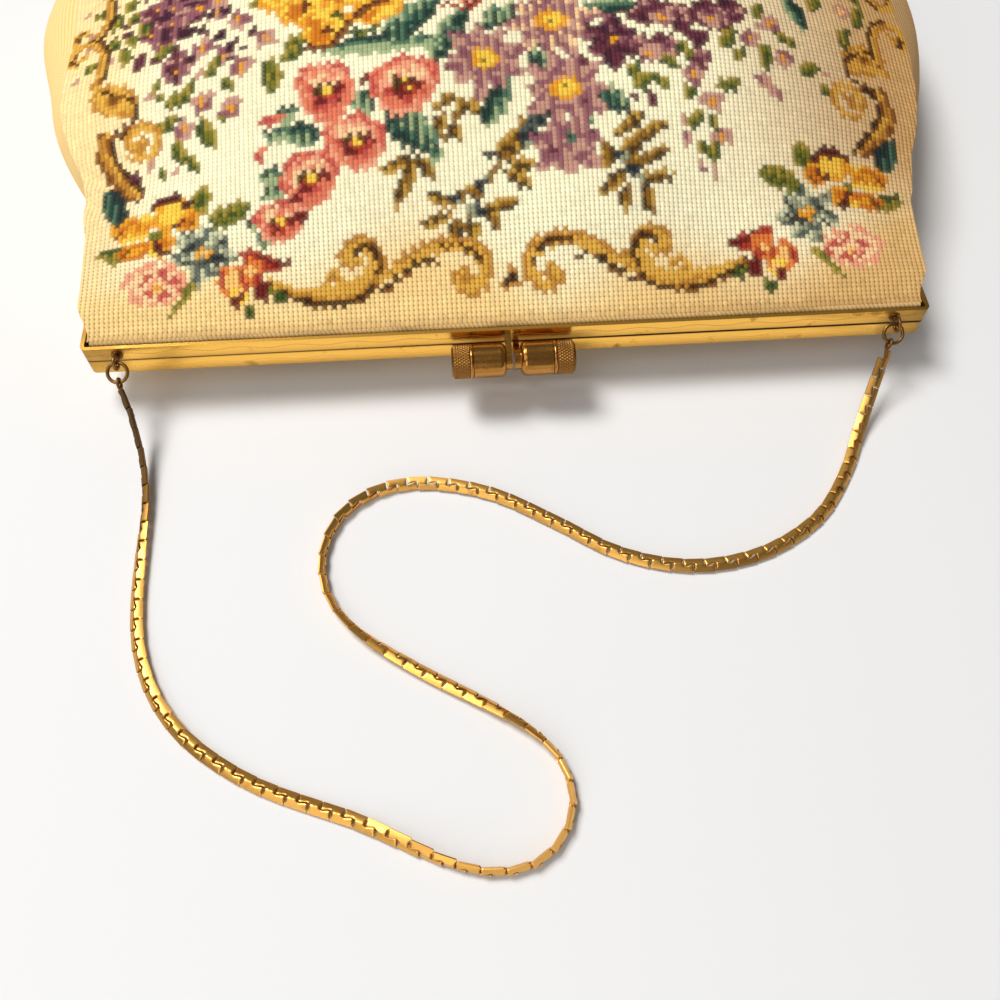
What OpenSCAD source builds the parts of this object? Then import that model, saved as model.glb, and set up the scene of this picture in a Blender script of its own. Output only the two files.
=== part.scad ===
// Needlepoint evening bag with a hinged metal frame, a kiss-lock clasp and a flat link chain.
// It lies on its back: +Z is up, the front panel faces up, the frame is towards -Y.
// The origin is on the table, below the middle of the bag.

/* [Frame] */
// Width of the metal frame over its arms
frame_w = 200; // [180:1:230]
// Depth of one frame half, measured across the seam
half_depth = 4.1; // [3.6:0.1:5]
// Height of the frame's underside above the table
frame_lift = 9; // [7:0.5:11]
// Distance from the outer face of the bar to the hinge axis
hinge_reach = 26; // [24:0.5:32]
// Thickness of the sheet metal
sheet_t = 0.7; // [0.6:0.05:0.8]
// Depth of the inner flange along the bar at the seam
flange_w = 2.6; // [2.4:0.1:3.4]
// Width of the lip that holds the cloth
lip_w = 0.9; // [0.85:0.05:1.4]
// Outer radius of the frame's corners
corner_r = 1.4; // [1:0.1:2]
// Gap between the two halves at the seam
seam_gap = 0.2; // [0.1:0.05:0.4]

/* [Hinge] */
// Radius of the hinge ears
ear_r = 4.1; // [3.4:0.1:4.6]
// Diameter of the rivet's shank
rivet_d = 1.8; // [1.4:0.1:2.4]
// Diameter of the rivet's heads
rivet_head_d = 4; // [3.4:0.1:5]
// Running clearance of the rivet, on the radius
rivet_clear = 0.04; // [0.02:0.01:0.08]

/* [Clasp] */
// Diameter of the clasp barrels
barrel_d = 8; // [7:0.1:9]
// Length of the plain part of a barrel
barrel_l = 7.6; // [6:0.1:9]
// Length of the knurled cap
cap_l = 4.2; // [3:0.1:5]
// Distance of the clasp axis in front of the bar
clasp_reach = 5.5; // [5.2:0.1:7]
// Thickness of a clasp stalk
stalk_t = 1.4; // [1:0.1:1.6]
// Number of knurls around a cap
knurl_count = 40; // [24:2:48]

/* [Pouch] */
// Length of the pouch from the outer face of the bar to the bottom seam
bag_l = 158; // [145:1:175]
// Greatest height of the front panel above the table
bag_h = 52; // [44:1:58]
// Half width of the front panel near its bottom
panel_half_w = 110; // [106:1:116]
// How far the gussets bulge past the panel seams
gusset_bulge = 14.5; // [10:0.5:20]
// Thickness of the stitched canvas
canvas_t = 1.3; // [1:0.1:1.6]
// Thickness of the lining
lining_t = 0.5; // [0.4:0.05:0.7]
// Diameter of the piping cord
piping_d = 1.4; // [1.1:0.05:1.6]

/* [Chain] */
// Width of a chain link
link_w = 3; // [2.6:0.1:3.4]
// Thickness of a chain link
link_t = 1; // [0.8:0.05:1.2]
// Distance from one link to the next
link_pitch = 4.7; // [4.4:0.05:5]
// Gap between neighbouring links
link_gap = 0.4; // [0.34:0.02:0.46]
// Distance of the chain eyes from the ends of the frame
eye_inset = 8; // [6:0.5:14]
// Wire diameter of the eyes and jump rings
wire_d = 0.84; // [0.7:0.02:0.9]
// Radius of a jump ring at the middle of its wire
ring_r = 2.3; // [2.1:0.1:2.6]

/* [Hidden] */
$fn = 48;
gold = "#c9a14c";
dark_gold = "#a87f36";
cream = "#ead8b2";
lining_colour = "#efe6d2";

// Heights and places that follow from the driving sizes
seam_z = frame_lift + half_depth + seam_gap / 2;
bead_proud = 0.1;
bar_y = (clasp_reach + barrel_d / 2 + bead_proud - bag_l) / 2;
hinge_y = bar_y + hinge_reach;
clasp_y = bar_y - clasp_reach;
half_w = frame_w / 2;
ear_clear = 0.5;
ear_gap = 0.2;
arm_end = hinge_reach - ear_r - ear_clear;
cloth_clear = 0.7;

// Smooth step from 0 at a to 1 at b
function ease(a, b, y) = let (t = max(0, min(1, (y - a) / (b - a)))) t * t * (3 - 2 * t);
function mix(a, b, t) = a + (b - a) * t;
function unit(v) = v / norm(v);

// Frame halves

// Plan of a frame half: a rectangle with round corners at the bar, from the bar back to depth l
module plan_outline(inset, l) {
    r = max(corner_r - inset, 0.2);
    w = frame_w - 2 * inset;
    translate([-w / 2, inset + r]) square([w, l - inset - r]);
    translate([-w / 2 + r, inset]) square([w - 2 * r, l - inset]);
    for (side = [-1, 1]) translate([side * (w / 2 - r), inset + r]) circle(r);
}

// Band along the bar and both arms, with the given widths
module plan_band(bar_width, arm_width, l) {
    difference() {
        plan_outline(0, l);
        intersection() {
            plan_outline(arm_width, l + 1);
            translate([-half_w, bar_width]) square([frame_w, l]);
        }
    }
}

// Channel of one half above the seam: wall, seam flange and lip
module channel() {
    translate([0, 0, seam_gap / 2]) {
        linear_extrude(half_depth) plan_band(sheet_t, sheet_t, arm_end);
        linear_extrude(sheet_t) plan_band(flange_w, lip_w, arm_end);
        translate([0, 0, half_depth - sheet_t]) linear_extrude(sheet_t) plan_band(lip_w, lip_w, arm_end);
    }
}

// Ear plate of one arm: a strap from the arm to a drilled disc on the hinge axis
module ear(outer_x, strap_start) {
    translate([outer_x - sheet_t, 0, 0]) rotate([90, 0, 90]) linear_extrude(sheet_t) difference() {
        union() {
            translate([strap_start, seam_gap / 2]) square([hinge_reach - strap_start, half_depth]);
            translate([hinge_reach, 0]) circle(ear_r);
        }
        translate([hinge_reach, 0]) circle(rivet_d / 2 + rivet_clear);
    }
}

module at_frame() { translate([0, bar_y, seam_z]) children(); }

module frame_front() {
    color(gold) at_frame() {
        channel();
        for (side = [0, 1]) mirror([side, 0, 0]) ear(half_w, arm_end - 0.01);
    }
}

module frame_back() {
    color(gold) at_frame() mirror([0, 0, 1]) {
        channel();
        for (side = [0, 1]) mirror([side, 0, 0])
            ear(half_w - sheet_t - ear_gap, arm_end - ear_r);
    }
}

module hinge_rivet(side) {
    head_t = 0.7;
    shank_from = half_w - 2 * sheet_t - ear_gap - 0.1;
    shank_to = half_w + 0.1;
    color(dark_gold) translate([0, hinge_y, seam_z]) mirror([side < 0 ? 1 : 0, 0, 0]) rotate([0, 90, 0]) {
        translate([0, 0, shank_from]) cylinder(d = rivet_d, h = shank_to - shank_from);
        translate([0, 0, shank_from - head_t]) cylinder(d = rivet_head_d, h = head_t);
        translate([0, 0, shank_to]) cylinder(d = rivet_head_d, h = head_t);
    }
}
module hinge_rivet_left() { hinge_rivet(-1); }
module hinge_rivet_right() { hinge_rivet(1); }

// Clasp

stalk_from = 0.3;
barrel_from = stalk_from + stalk_t;
bead_r = 0.5;
fillet_r = 1.3;
stalk_r = 2.4;
barrel_to = barrel_from + barrel_l;
cap_from = barrel_to + 2 * bead_r;

// Stalk in its own plane: foot on the bar, neck and a disc on the clasp axis
module stalk_profile() {
    foot_t = 0.7;
    foot_low = 0.5;
    foot_h = half_depth - 0.9;
    translate([-foot_t, foot_low]) square([foot_t, foot_h]);
    polygon([[-foot_t / 2, foot_low], [-foot_t / 2, foot_low + foot_h],
             [-clasp_reach, stalk_r * 0.9], [-clasp_reach, -stalk_r * 0.5]]);
    translate([-clasp_reach, 0]) circle(stalk_r);
}

module clasp_stalk() {
    at_frame() translate([stalk_from, 0, 0]) rotate([90, 0, 90]) linear_extrude(stalk_t) stalk_profile();
}

// Half section of a barrel: round inner end, plain body and a bead in front of the cap
module barrel_profile() {
    r = barrel_d / 2;
    inner_end = [for (a = [0:15:90]) [r - fillet_r * (1 - sin(a)), fillet_r * (1 - cos(a))]];
    neck_r = r + bead_proud - bead_r;
    polygon(concat([[0, 0]], inner_end, [[r, barrel_l], [neck_r, barrel_l], [neck_r, barrel_l + 2 * bead_r],
                   [0, barrel_l + 2 * bead_r]]));
    translate([neck_r, barrel_l + bead_r]) circle(bead_r);
}

module clasp_barrel() {
    translate([barrel_from, clasp_y, seam_z]) rotate([0, 90, 0]) rotate_extrude() barrel_profile();
}

// Knurled cap: a ring of fine teeth with a stepped end
module clasp_cap() {
    tooth = 0.28;
    step_l = 0.5;
    teeth = [for (i = [0:2 * knurl_count - 1])
        let (a = i * 180 / knurl_count, r = barrel_d / 2 - (i % 2) * tooth) [r * cos(a), r * sin(a)]];
    translate([cap_from, clasp_y, seam_z]) rotate([0, 90, 0]) {
        linear_extrude(cap_l - step_l) polygon(teeth);
        translate([0, 0, cap_l - step_l]) cylinder(r = barrel_d / 2 - 2 * tooth, h = step_l);
    }
}

module to_front() { mirror([1, 0, 0]) children(); }
module to_back() { translate([0, 0, seam_z]) mirror([0, 0, 1]) translate([0, 0, -seam_z]) children(); }
module clasp_stalk_front() { color(dark_gold) to_front() clasp_stalk(); }
module clasp_barrel_front() { color(gold) to_front() clasp_barrel(); }
module clasp_cap_front() { color(dark_gold) to_front() clasp_cap(); }
module clasp_stalk_back() { color(dark_gold) to_back() clasp_stalk(); }
module clasp_barrel_back() { color(gold) to_back() clasp_barrel(); }
module clasp_cap_back() { color(dark_gold) to_back() clasp_cap(); }

// Chain eyes and jump rings

eye_x = half_w - eye_inset;
eye_r = 1.5;
eye_post = 1.1;
eye_z = seam_z + half_depth / 2;
eye_y = bar_y - eye_post - eye_r + wire_d / 4;
end_ring_r = 1.2;
end_wire_d = 0.7;
// Direction in which the chain leaves each eye
leave_left = unit([0.1, -0.84, -0.53]);
leave_right = unit([-0.41, -0.72, -0.56]);

// Ring of wire whose plane holds the vectors a and b
module wire_ring(centre, a, b, r, d) {
    n = unit(cross(a, b));
    m = cross(n, unit(a));
    u = unit(a);
    multmatrix([[u.x, m.x, n.x, centre.x], [u.y, m.y, n.y, centre.y], [u.z, m.z, n.z, centre.z], [0, 0, 0, 1]])
        rotate_extrude() translate([r, 0]) circle(d = d, $fn = 24);
}

module chain_eye(side) {
    flange_t = 0.4;
    color(dark_gold) {
        wire_ring([side * eye_x, eye_y, eye_z], [0, 1, 0], [0, 0, 1], eye_r, wire_d);
        translate([side * eye_x, bar_y, eye_z]) rotate([90, 0, 0]) {
            cylinder(r = wire_d * 1.6, h = flange_t);
            cylinder(r = wire_d * 0.8, h = eye_post);
        }
    }
}
module chain_eye_left() { chain_eye(-1); }
module chain_eye_right() { chain_eye(1); }

function eye_centre(side) = [side * eye_x, eye_y, eye_z];
function leave(side) = side < 0 ? leave_left : leave_right;
function ring_centre(side) = eye_centre(side) + leave(side) * ring_r;
function end_ring_centre(side) =
    ring_centre(side) + leave(side) * (ring_r - wire_d / 2 - end_wire_d / 2 - 0.12 + end_ring_r);
function chain_start(side) = end_ring_centre(side) + leave(side) * (end_ring_r + 0.1);

module jump_ring(side) {
    color(dark_gold) wire_ring(ring_centre(side), leave(side), [1, 0, 0], ring_r, wire_d);
}
module jump_ring_left() { jump_ring(-1); }
module jump_ring_right() { jump_ring(1); }

// Chain

// Hand-chosen route on the table for eyes at route_eye_x: place from the middle of the bar, lift and roll
route_eye_x = 92;
chain_route = [
    [-89.6, -11.5, 8, 80], [-88.5, -16, 4.7, 76], [-87.3, -21, 2.2, 70], [-86.4, -26.5, 0.7, 62],
    [-85.8, -33, 0, 50], [-85.5, -45, 0, 28], [-85, -57, 0, 18], [-83.3, -68, 0, 20], [-79, -78.5, 0, 20],
    [-72.5, -87, 0, 12], [-64.5, -93.5, 0, 4], [-56, -98.5, 0, 0], [-47, -102.3, 0, 0], [-38, -105.8, 0, 8],
    [-30, -109.8, 0, 32], [-21.5, -114.2, 0, 62], [-12.5, -117, 0, 84], [-4, -116.2, 0, 90], [2, -111.5, 0, 90],
    [4.5, -104.5, 0, 90], [2.5, -96.5, 0, 78], [-3.5, -89.8, 0, 55], [-12, -84, 0, 25], [-24.5, -76.5, 0, 15],
    [-37, -67.5, 0, 45], [-43.7, -58.8, 0, 68], [-45.3, -49, 0, 74], [-41.8, -39.2, 0, 72], [-33.5, -32.8, 0, 56],
    [-22, -31, 0, 34], [-7, -34.7, 0, 22], [7, -43, 0, 16], [20.5, -51.8, 0, 14], [36, -56, 0, 16],
    [52, -54, 0, 22], [66.5, -46, 0, 22], [75.8, -34.5, 0, 16], [81, -24.5, 0.9, 12], [85.3, -15.5, 4.6, 16]
];
function link_rest(roll) = (link_w * abs(sin(roll)) + link_t * abs(cos(roll))) / 2 + 0.2;
end_roll = [80, 35];
function start_point(side) = let (p = chain_start(side), roll = end_roll[side < 0 ? 0 : 1]) [p.x, p.y, p.z, roll];
route = concat(
    [start_point(-1)],
    [for (p = chain_route) [p.x * eye_x / route_eye_x, bar_y + p.y, p.z + link_rest(p[3]), p[3]]],
    [start_point(1)]
);
route_last = len(route) - 1;
route_steps = 8;
function route_at(i) = route[max(0, min(route_last, i))];
// Smooth curve through the route's points
function spline(a, b, c, d, t) = 0.5 * (2 * b + (c - a) * t + (2 * a - 5 * b + 4 * c - d) * t * t
    + (3 * b - a - 3 * c + d) * t * t * t);
curve = concat(
    [for (i = [0:route_last - 1]) for (j = [0:route_steps - 1])
        spline(route_at(i - 1), route_at(i), route_at(i + 1), route_at(i + 2), j / route_steps)],
    [route[route_last]]
);
function place(p) = [p.x, p.y, p.z];
curve_s = [for (i = 0, s = 0; i < len(curve);
    s = s + (i < len(curve) - 1 ? norm(place(curve[i + 1]) - place(curve[i])) : 0), i = i + 1) s];
chain_l = curve_s[len(curve_s) - 1];
function column(k) = [for (i = [0:len(curve) - 1]) [curve_s[i], curve[i][k]]];
curve_x = column(0);
curve_y = column(1);
curve_z = column(2);
curve_roll = column(3);
function chain_point(s) = [lookup(s, curve_x), lookup(s, curve_y), lookup(s, curve_z)];

// Outline of a link: two hooked lobes, each with round outer corners
lobe_r = 0.55;
hook = 0.4;
function corner(x, y, from) = [for (k = [0:3]) let (a = from + k * 30) [x + lobe_r * cos(a), y + lobe_r * sin(a)]];
link_outline = let (h = link_w / 2, half = link_pitch / 2, g = link_gap, r = lobe_r) concat(
    corner(r, h - r, 90), [[0, -hook], [half, hook]],
    corner(half + r, r - h, 180), corner(1.5 * link_pitch - g - r, r - h, 270),
    [[1.5 * link_pitch - g, hook - g], [link_pitch - g, -hook - g]],
    corner(link_pitch - g - r, h - r, 0)
);

// Lays what is drawn along +X, about its own middle, on the chain between the distances s and e
module on_chain(s, e) {
    t = unit(chain_point(e) - chain_point(s));
    flat = unit(cross([0, 0, 1], t));
    rise = cross(t, flat);
    roll = lookup((s + e) / 2, curve_roll);
    w = flat * cos(roll) + rise * sin(roll);
    n = cross(t, w);
    p = (chain_point(s) + chain_point(e)) / 2;
    multmatrix([[t.x, w.x, n.x, p.x], [t.y, w.y, n.y, p.y], [t.z, w.z, n.z, p.z], [0, 0, 0, 1]]) children();
}

link_count = floor((chain_l - 0.5 * link_pitch) / link_pitch);
link_step = (chain_l - 0.5 * link_pitch) / link_count;
module chain_links() {
    middle = 0.75 * link_pitch - link_gap / 2;
    color(gold) {
        for (i = [0:link_count - 1])
            on_chain((i + 0.25) * link_step, (i + 1.25) * link_step)
                translate([-middle, 0, -link_t / 2]) linear_extrude(link_t) polygon(link_outline);
        for (side = [-1, 1])
            wire_ring(end_ring_centre(side), leave(side), cross(leave(side), [1, 0, 0]), end_ring_r, end_wire_d);
    }
}

// Pouch

mouth_y = flange_w + cloth_clear;
mouth_top = half_depth + seam_z - 0.4;
mouth_bottom = seam_z - half_depth + 0.4;
neck_half_w = half_w - lip_w - cloth_clear;
neck_y = hinge_reach + ear_r;
full_y = neck_y + 45;
neck_fold = -1.7;
neck_puff = 1.5;
bottom_seam_z = 20;
bottom_round = 46;
corner_round = 34;
crown = 2.4;
belly_share = 0.72;
seam_slit = 0.2;

// Elliptical closing of the section towards the bottom seam, for a wall set in by d
function closing(y, d) = let (k = max(0, (y - (bag_l - bottom_round)) / (bottom_round - d))) sqrt(max(0, 1 - k * k));
function corner_trim(y, d) =
    let (k = max(0, (y - (bag_l - corner_round)) / (corner_round - d))) corner_round * (1 - sqrt(max(0, 1 - k * k)));
function edge_x(y, d) = mix(neck_half_w, panel_half_w, sin(90 * max(0, min(1, (y - neck_y) / (full_y - neck_y)))))
    - corner_trim(y, d) - d;
// The gussets fold in past the hinge rivets at the neck and bulge out towards the bottom
function bulge(y, d) = mix(neck_fold, gusset_bulge, ease(neck_y, 112, y)) * closing(y, d);
crest_y = 96;
function top_raw(y) = mouth_top + (bag_h - mouth_top) * sin(90 * min(1, (y - mouth_y) / (crest_y - mouth_y)));
function front_seam_raw(y) = mix(mouth_top, 0.66 * bag_h, ease(mouth_y, 85, y))
    + neck_puff * ease(mouth_y, 12, y) * (1 - ease(neck_y, 60, y));
function back_seam_raw(y) = mix(mouth_bottom, 4.5, ease(mouth_y, 40, y));
function belly_raw(y) = mix(mouth_bottom, 0, ease(mouth_y, 24, y));
function upper(z, y, d) = mix(bottom_seam_z + seam_slit / 2, z - d, closing(y, d));
function lower(z, y, d) = mix(bottom_seam_z - seam_slit / 2, z + d, closing(y, d));
function along(v, d) = mix(mouth_y, bag_l - d, v);

// Point of the front wall: u from -1 at the left seam to 1 at the right seam
function front_point(u, v, d) = let (
    y = along(v, d),
    edge = upper(front_seam_raw(y), y, d),
    z = mix(edge, upper(top_raw(y), y, d), 1 - pow(abs(u), crown))
) [u * edge_x(y, d), bar_y + y, z];

// Point of the rest of the section: w from 0 at the left front seam, round the back, to 1 at the right one
gusset_share = 0.2;
function round_back(w, v, d) = let (
    y = along(v, d),
    side = w < 0.5 ? -1 : 1,
    g = min(1, (w < 0.5 ? w : 1 - w) / gusset_share),
    low = lower(back_seam_raw(y), y, d),
    x = edge_x(y, d),
    u = (2 * w - 1) / (1 - 2 * gusset_share)
) g < 1
    ? [side * (x + bulge(y, d) * 4 * g * (1 - g)), bar_y + y, mix(upper(front_seam_raw(y), y, d), low, g)]
    : [u * x, bar_y + y, mix(lower(belly_raw(y), y, d), low, pow(max(0, abs(u) - belly_share) / (1 - belly_share), 2))];

// Closed wall between two layers of points, each a grid of rows[row][column]
module wall(outer, inner) {
    rows = len(outer);
    cols = len(outer[0]);
    points = [for (layer = [outer, inner]) for (row = layer) for (p = row) p];
    function at(layer, r, c) = layer * rows * cols + r * cols + c;
    faces = concat(
        [for (r = [0:rows - 2]) for (c = [0:cols - 2]) for (half = [0, 1])
            half == 0 ? [at(0, r, c), at(0, r + 1, c), at(0, r + 1, c + 1)]
                      : [at(0, r, c), at(0, r + 1, c + 1), at(0, r, c + 1)]],
        [for (r = [0:rows - 2]) for (c = [0:cols - 2]) for (half = [0, 1])
            half == 0 ? [at(1, r, c), at(1, r + 1, c + 1), at(1, r + 1, c)]
                      : [at(1, r, c), at(1, r, c + 1), at(1, r + 1, c + 1)]],
        [for (r = [0:rows - 2]) for (half = [0, 1])
            half == 0 ? [at(0, r, 0), at(1, r, 0), at(1, r + 1, 0)] : [at(0, r, 0), at(1, r + 1, 0), at(0, r + 1, 0)]],
        [for (r = [0:rows - 2]) for (half = [0, 1])
            half == 0 ? [at(0, r, cols - 1), at(1, r + 1, cols - 1), at(1, r, cols - 1)]
                      : [at(0, r, cols - 1), at(0, r + 1, cols - 1), at(1, r + 1, cols - 1)]],
        [for (c = [0:cols - 2]) for (half = [0, 1])
            half == 0 ? [at(0, 0, c), at(1, 0, c + 1), at(1, 0, c)] : [at(0, 0, c), at(0, 0, c + 1), at(1, 0, c + 1)]],
        [for (c = [0:cols - 2]) for (half = [0, 1])
            half == 0 ? [at(0, rows - 1, c), at(1, rows - 1, c), at(1, rows - 1, c + 1)]
                      : [at(0, rows - 1, c), at(1, rows - 1, c + 1), at(0, rows - 1, c + 1)]]
    );
    polyhedron(points, faces);
}

// Rows stand closer together towards the bottom seam, where the wall turns
function row_v(j, n) = 1 - pow(1 - j / n, 1.5);
function front_grid(nu, nv, d) =
    [for (j = [0:nv]) [for (i = [0:nu]) front_point(0.998 * (2 * i / nu - 1), row_v(j, nv), d)]];
function back_grid(w0, w1, nw, nv, v_end, d) =
    [for (j = [0:nv]) [for (i = [0:nw]) round_back(mix(w0, w1, i / nw), v_end * row_v(j, nv), d)]];

lining_from = canvas_t + 0.4;
lining_to = lining_from + lining_t;
seam_w = 0.002;
module front_panel() { color(cream) wall(front_grid(28, 18, 0), front_grid(28, 18, canvas_t)); }
module back_wall(w0, w1, nw, nv, v_end, d0, d1) {
    wall(back_grid(w0, w1, nw, nv, v_end, d0), back_grid(w0, w1, nw, nv, v_end, d1));
}
module back_panel() {
    color(cream) back_wall(gusset_share + seam_w, 1 - gusset_share - seam_w, 24, 16, 1, 0, canvas_t);
}
module gusset_left() { color(cream) back_wall(seam_w, gusset_share - seam_w, 6, 16, 0.9995, 0, canvas_t); }
module gusset_right() { color(cream) back_wall(1 - gusset_share + seam_w, 1 - seam_w, 6, 16, 0.9995, 0, canvas_t); }
module lining_front() { color(lining_colour) wall(front_grid(28, 18, lining_from), front_grid(28, 18, lining_to)); }
module lining_back() { color(lining_colour) back_wall(seam_w, 1 - seam_w, 30, 16, 0.9995, lining_from, lining_to); }

// Piping cord behind each lip
module piping() {
    l = frame_w - 2 * lip_w - 2;
    at_frame() translate([-l / 2, lip_w + piping_d / 2 + 0.1, half_depth - sheet_t / 2]) rotate([0, 90, 0])
        cylinder(d = piping_d, h = l);
}
module piping_front() { color(cream) piping(); }
module piping_back() { color(cream) to_back() piping(); }

frame_back();
frame_front();
hinge_rivet_left();
hinge_rivet_right();
clasp_stalk_front();
clasp_barrel_front();
clasp_cap_front();
clasp_stalk_back();
clasp_barrel_back();
clasp_cap_back();
chain_eye_left();
chain_eye_right();
jump_ring_left();
jump_ring_right();
chain_links();
front_panel();
back_panel();
gusset_left();
gusset_right();
lining_front();
lining_back();
piping_front();
piping_back();
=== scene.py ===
"""Looks of the needlepoint evening bag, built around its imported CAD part.

Lengths are in millimetres in the builders and in metres in the scene and the finishes. The shared frame
has +Z up, the metal frame of the bag towards -Y and its origin on the table.
"""

import logging
import math
from dataclasses import dataclass, field
from enum import Enum
from typing import Any, Mapping, Optional, Sequence, Union

import bpy
import numpy as np
from mathutils import Matrix, Vector

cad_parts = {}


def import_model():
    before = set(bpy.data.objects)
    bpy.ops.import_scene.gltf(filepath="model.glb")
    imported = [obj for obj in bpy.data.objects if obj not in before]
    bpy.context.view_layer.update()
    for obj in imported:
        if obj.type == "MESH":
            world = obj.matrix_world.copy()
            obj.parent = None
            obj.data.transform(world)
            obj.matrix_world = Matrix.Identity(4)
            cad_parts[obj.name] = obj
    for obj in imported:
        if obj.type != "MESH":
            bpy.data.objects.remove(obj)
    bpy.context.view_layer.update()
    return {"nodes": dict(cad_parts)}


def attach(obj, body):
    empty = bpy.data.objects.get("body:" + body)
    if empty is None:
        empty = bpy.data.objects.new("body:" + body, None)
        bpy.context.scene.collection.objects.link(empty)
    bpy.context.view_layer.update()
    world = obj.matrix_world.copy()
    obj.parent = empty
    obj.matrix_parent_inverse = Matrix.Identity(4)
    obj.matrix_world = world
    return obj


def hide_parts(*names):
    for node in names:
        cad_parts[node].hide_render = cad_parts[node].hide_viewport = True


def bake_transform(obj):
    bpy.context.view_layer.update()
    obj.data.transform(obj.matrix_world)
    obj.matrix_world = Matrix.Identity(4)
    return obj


MM = 0.001
LOG = logging.getLogger("evening_bag")
Number = Union[int, float]
Colour = tuple[float, float, float]
Point2 = tuple[float, float]
Point3 = tuple[float, float, float]


def linear(red: Number, green: Number, blue: Number) -> Colour:
    """Turns an 8-bit display colour into a linear one.

    Args:
        red: Red from 0 to 255.
        green: Green from 0 to 255.
        blue: Blue from 0 to 255.

    Returns:
        The linear colour, each part from 0 to 1.
    """
    parts = []
    for part in (red, green, blue):
        share = part / 255
        parts.append(share / 12.92 if share <= 0.04045 else ((share + 0.055) / 1.055) ** 2.4)
    return parts[0], parts[1], parts[2]


def ease(start: float, end: float, at: np.ndarray) -> np.ndarray:
    """Smooth step from 0 at start to 1 at end."""
    t = np.clip((at - start) / (end - start), 0, 1)
    return t * t * (3 - 2 * t)


def hump(middle: float, wide: float, at: np.ndarray) -> np.ndarray:
    """Smooth hump of height 1 round its middle."""
    return np.exp(-(((at - middle) / wide) ** 2))


def mix(low: Any, high: Any, share: Any) -> Any:
    """Value between low and high."""
    return low + (high - low) * share


def smooth_line(padded: np.ndarray, steps: int = 8) -> np.ndarray:
    """Draws a smooth curve through knots.

    Args:
        padded: The knots, with one more point before the first and one after the last.
        steps: Points to a stretch between two knots.

    Returns:
        The points, up to and with the last knot.
    """
    line = []
    for i in range(len(padded) - 3):
        p0, p1, p2, p3 = padded[i : i + 4]
        for t in np.arange(steps) / steps:
            line.append(0.5 * (2 * p1 + (p2 - p0) * t + (2 * p0 - 5 * p1 + 4 * p2 - p3) * t**2
                               + (3 * p1 - p0 - 3 * p2 + p3) * t**3))
    return np.array([*line, padded[-2]])


# Shader trees


class Value:
    """A socket of a shader tree with the arithmetic of numbers."""

    def __init__(self, tree: "ShaderTree", socket: bpy.types.NodeSocket) -> None:
        """Keeps the socket and the tree that it belongs to."""
        self.tree = tree
        self.socket = socket

    def __add__(self, other: "Operand") -> "Value":
        """Sum."""
        return self.tree.math("ADD", self, other)

    def __radd__(self, other: "Operand") -> "Value":
        """Reflected sum."""
        return self.tree.math("ADD", other, self)

    def __sub__(self, other: "Operand") -> "Value":
        """Difference."""
        return self.tree.math("SUBTRACT", self, other)

    def __rsub__(self, other: "Operand") -> "Value":
        """Reflected difference."""
        return self.tree.math("SUBTRACT", other, self)

    def __mul__(self, other: "Operand") -> "Value":
        """Product."""
        return self.tree.math("MULTIPLY", self, other)

    def __rmul__(self, other: "Operand") -> "Value":
        """Reflected product."""
        return self.tree.math("MULTIPLY", other, self)

    def __truediv__(self, other: "Operand") -> "Value":
        """Quotient."""
        return self.tree.math("DIVIDE", self, other)

    def __pow__(self, other: "Operand") -> "Value":
        """Power."""
        return self.tree.math("POWER", self, other)

    def __abs__(self) -> "Value":
        """Size without its sign."""
        return self.tree.math("ABSOLUTE", self)

    def fraction(self) -> "Value":
        """Part after the decimal point."""
        return self.tree.math("FRACT", self)

    def sine(self) -> "Value":
        """Sine of an angle in radians."""
        return self.tree.math("SINE", self)

    def at_most(self, other: "Operand") -> "Value":
        """The smaller of two values."""
        return self.tree.math("MINIMUM", self, other)

    def at_least(self, other: "Operand") -> "Value":
        """The larger of two values."""
        return self.tree.math("MAXIMUM", self, other)

    def clip(self) -> "Value":
        """The value held between 0 and 1."""
        return self.at_least(0.0).at_most(1.0)

    def step(self, start: Number, end: Number) -> "Value":
        """Straight step from 0 at start to 1 at end."""
        return ((self - start) / (end - start)).clip()


Operand = Union[Value, Number]


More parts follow.
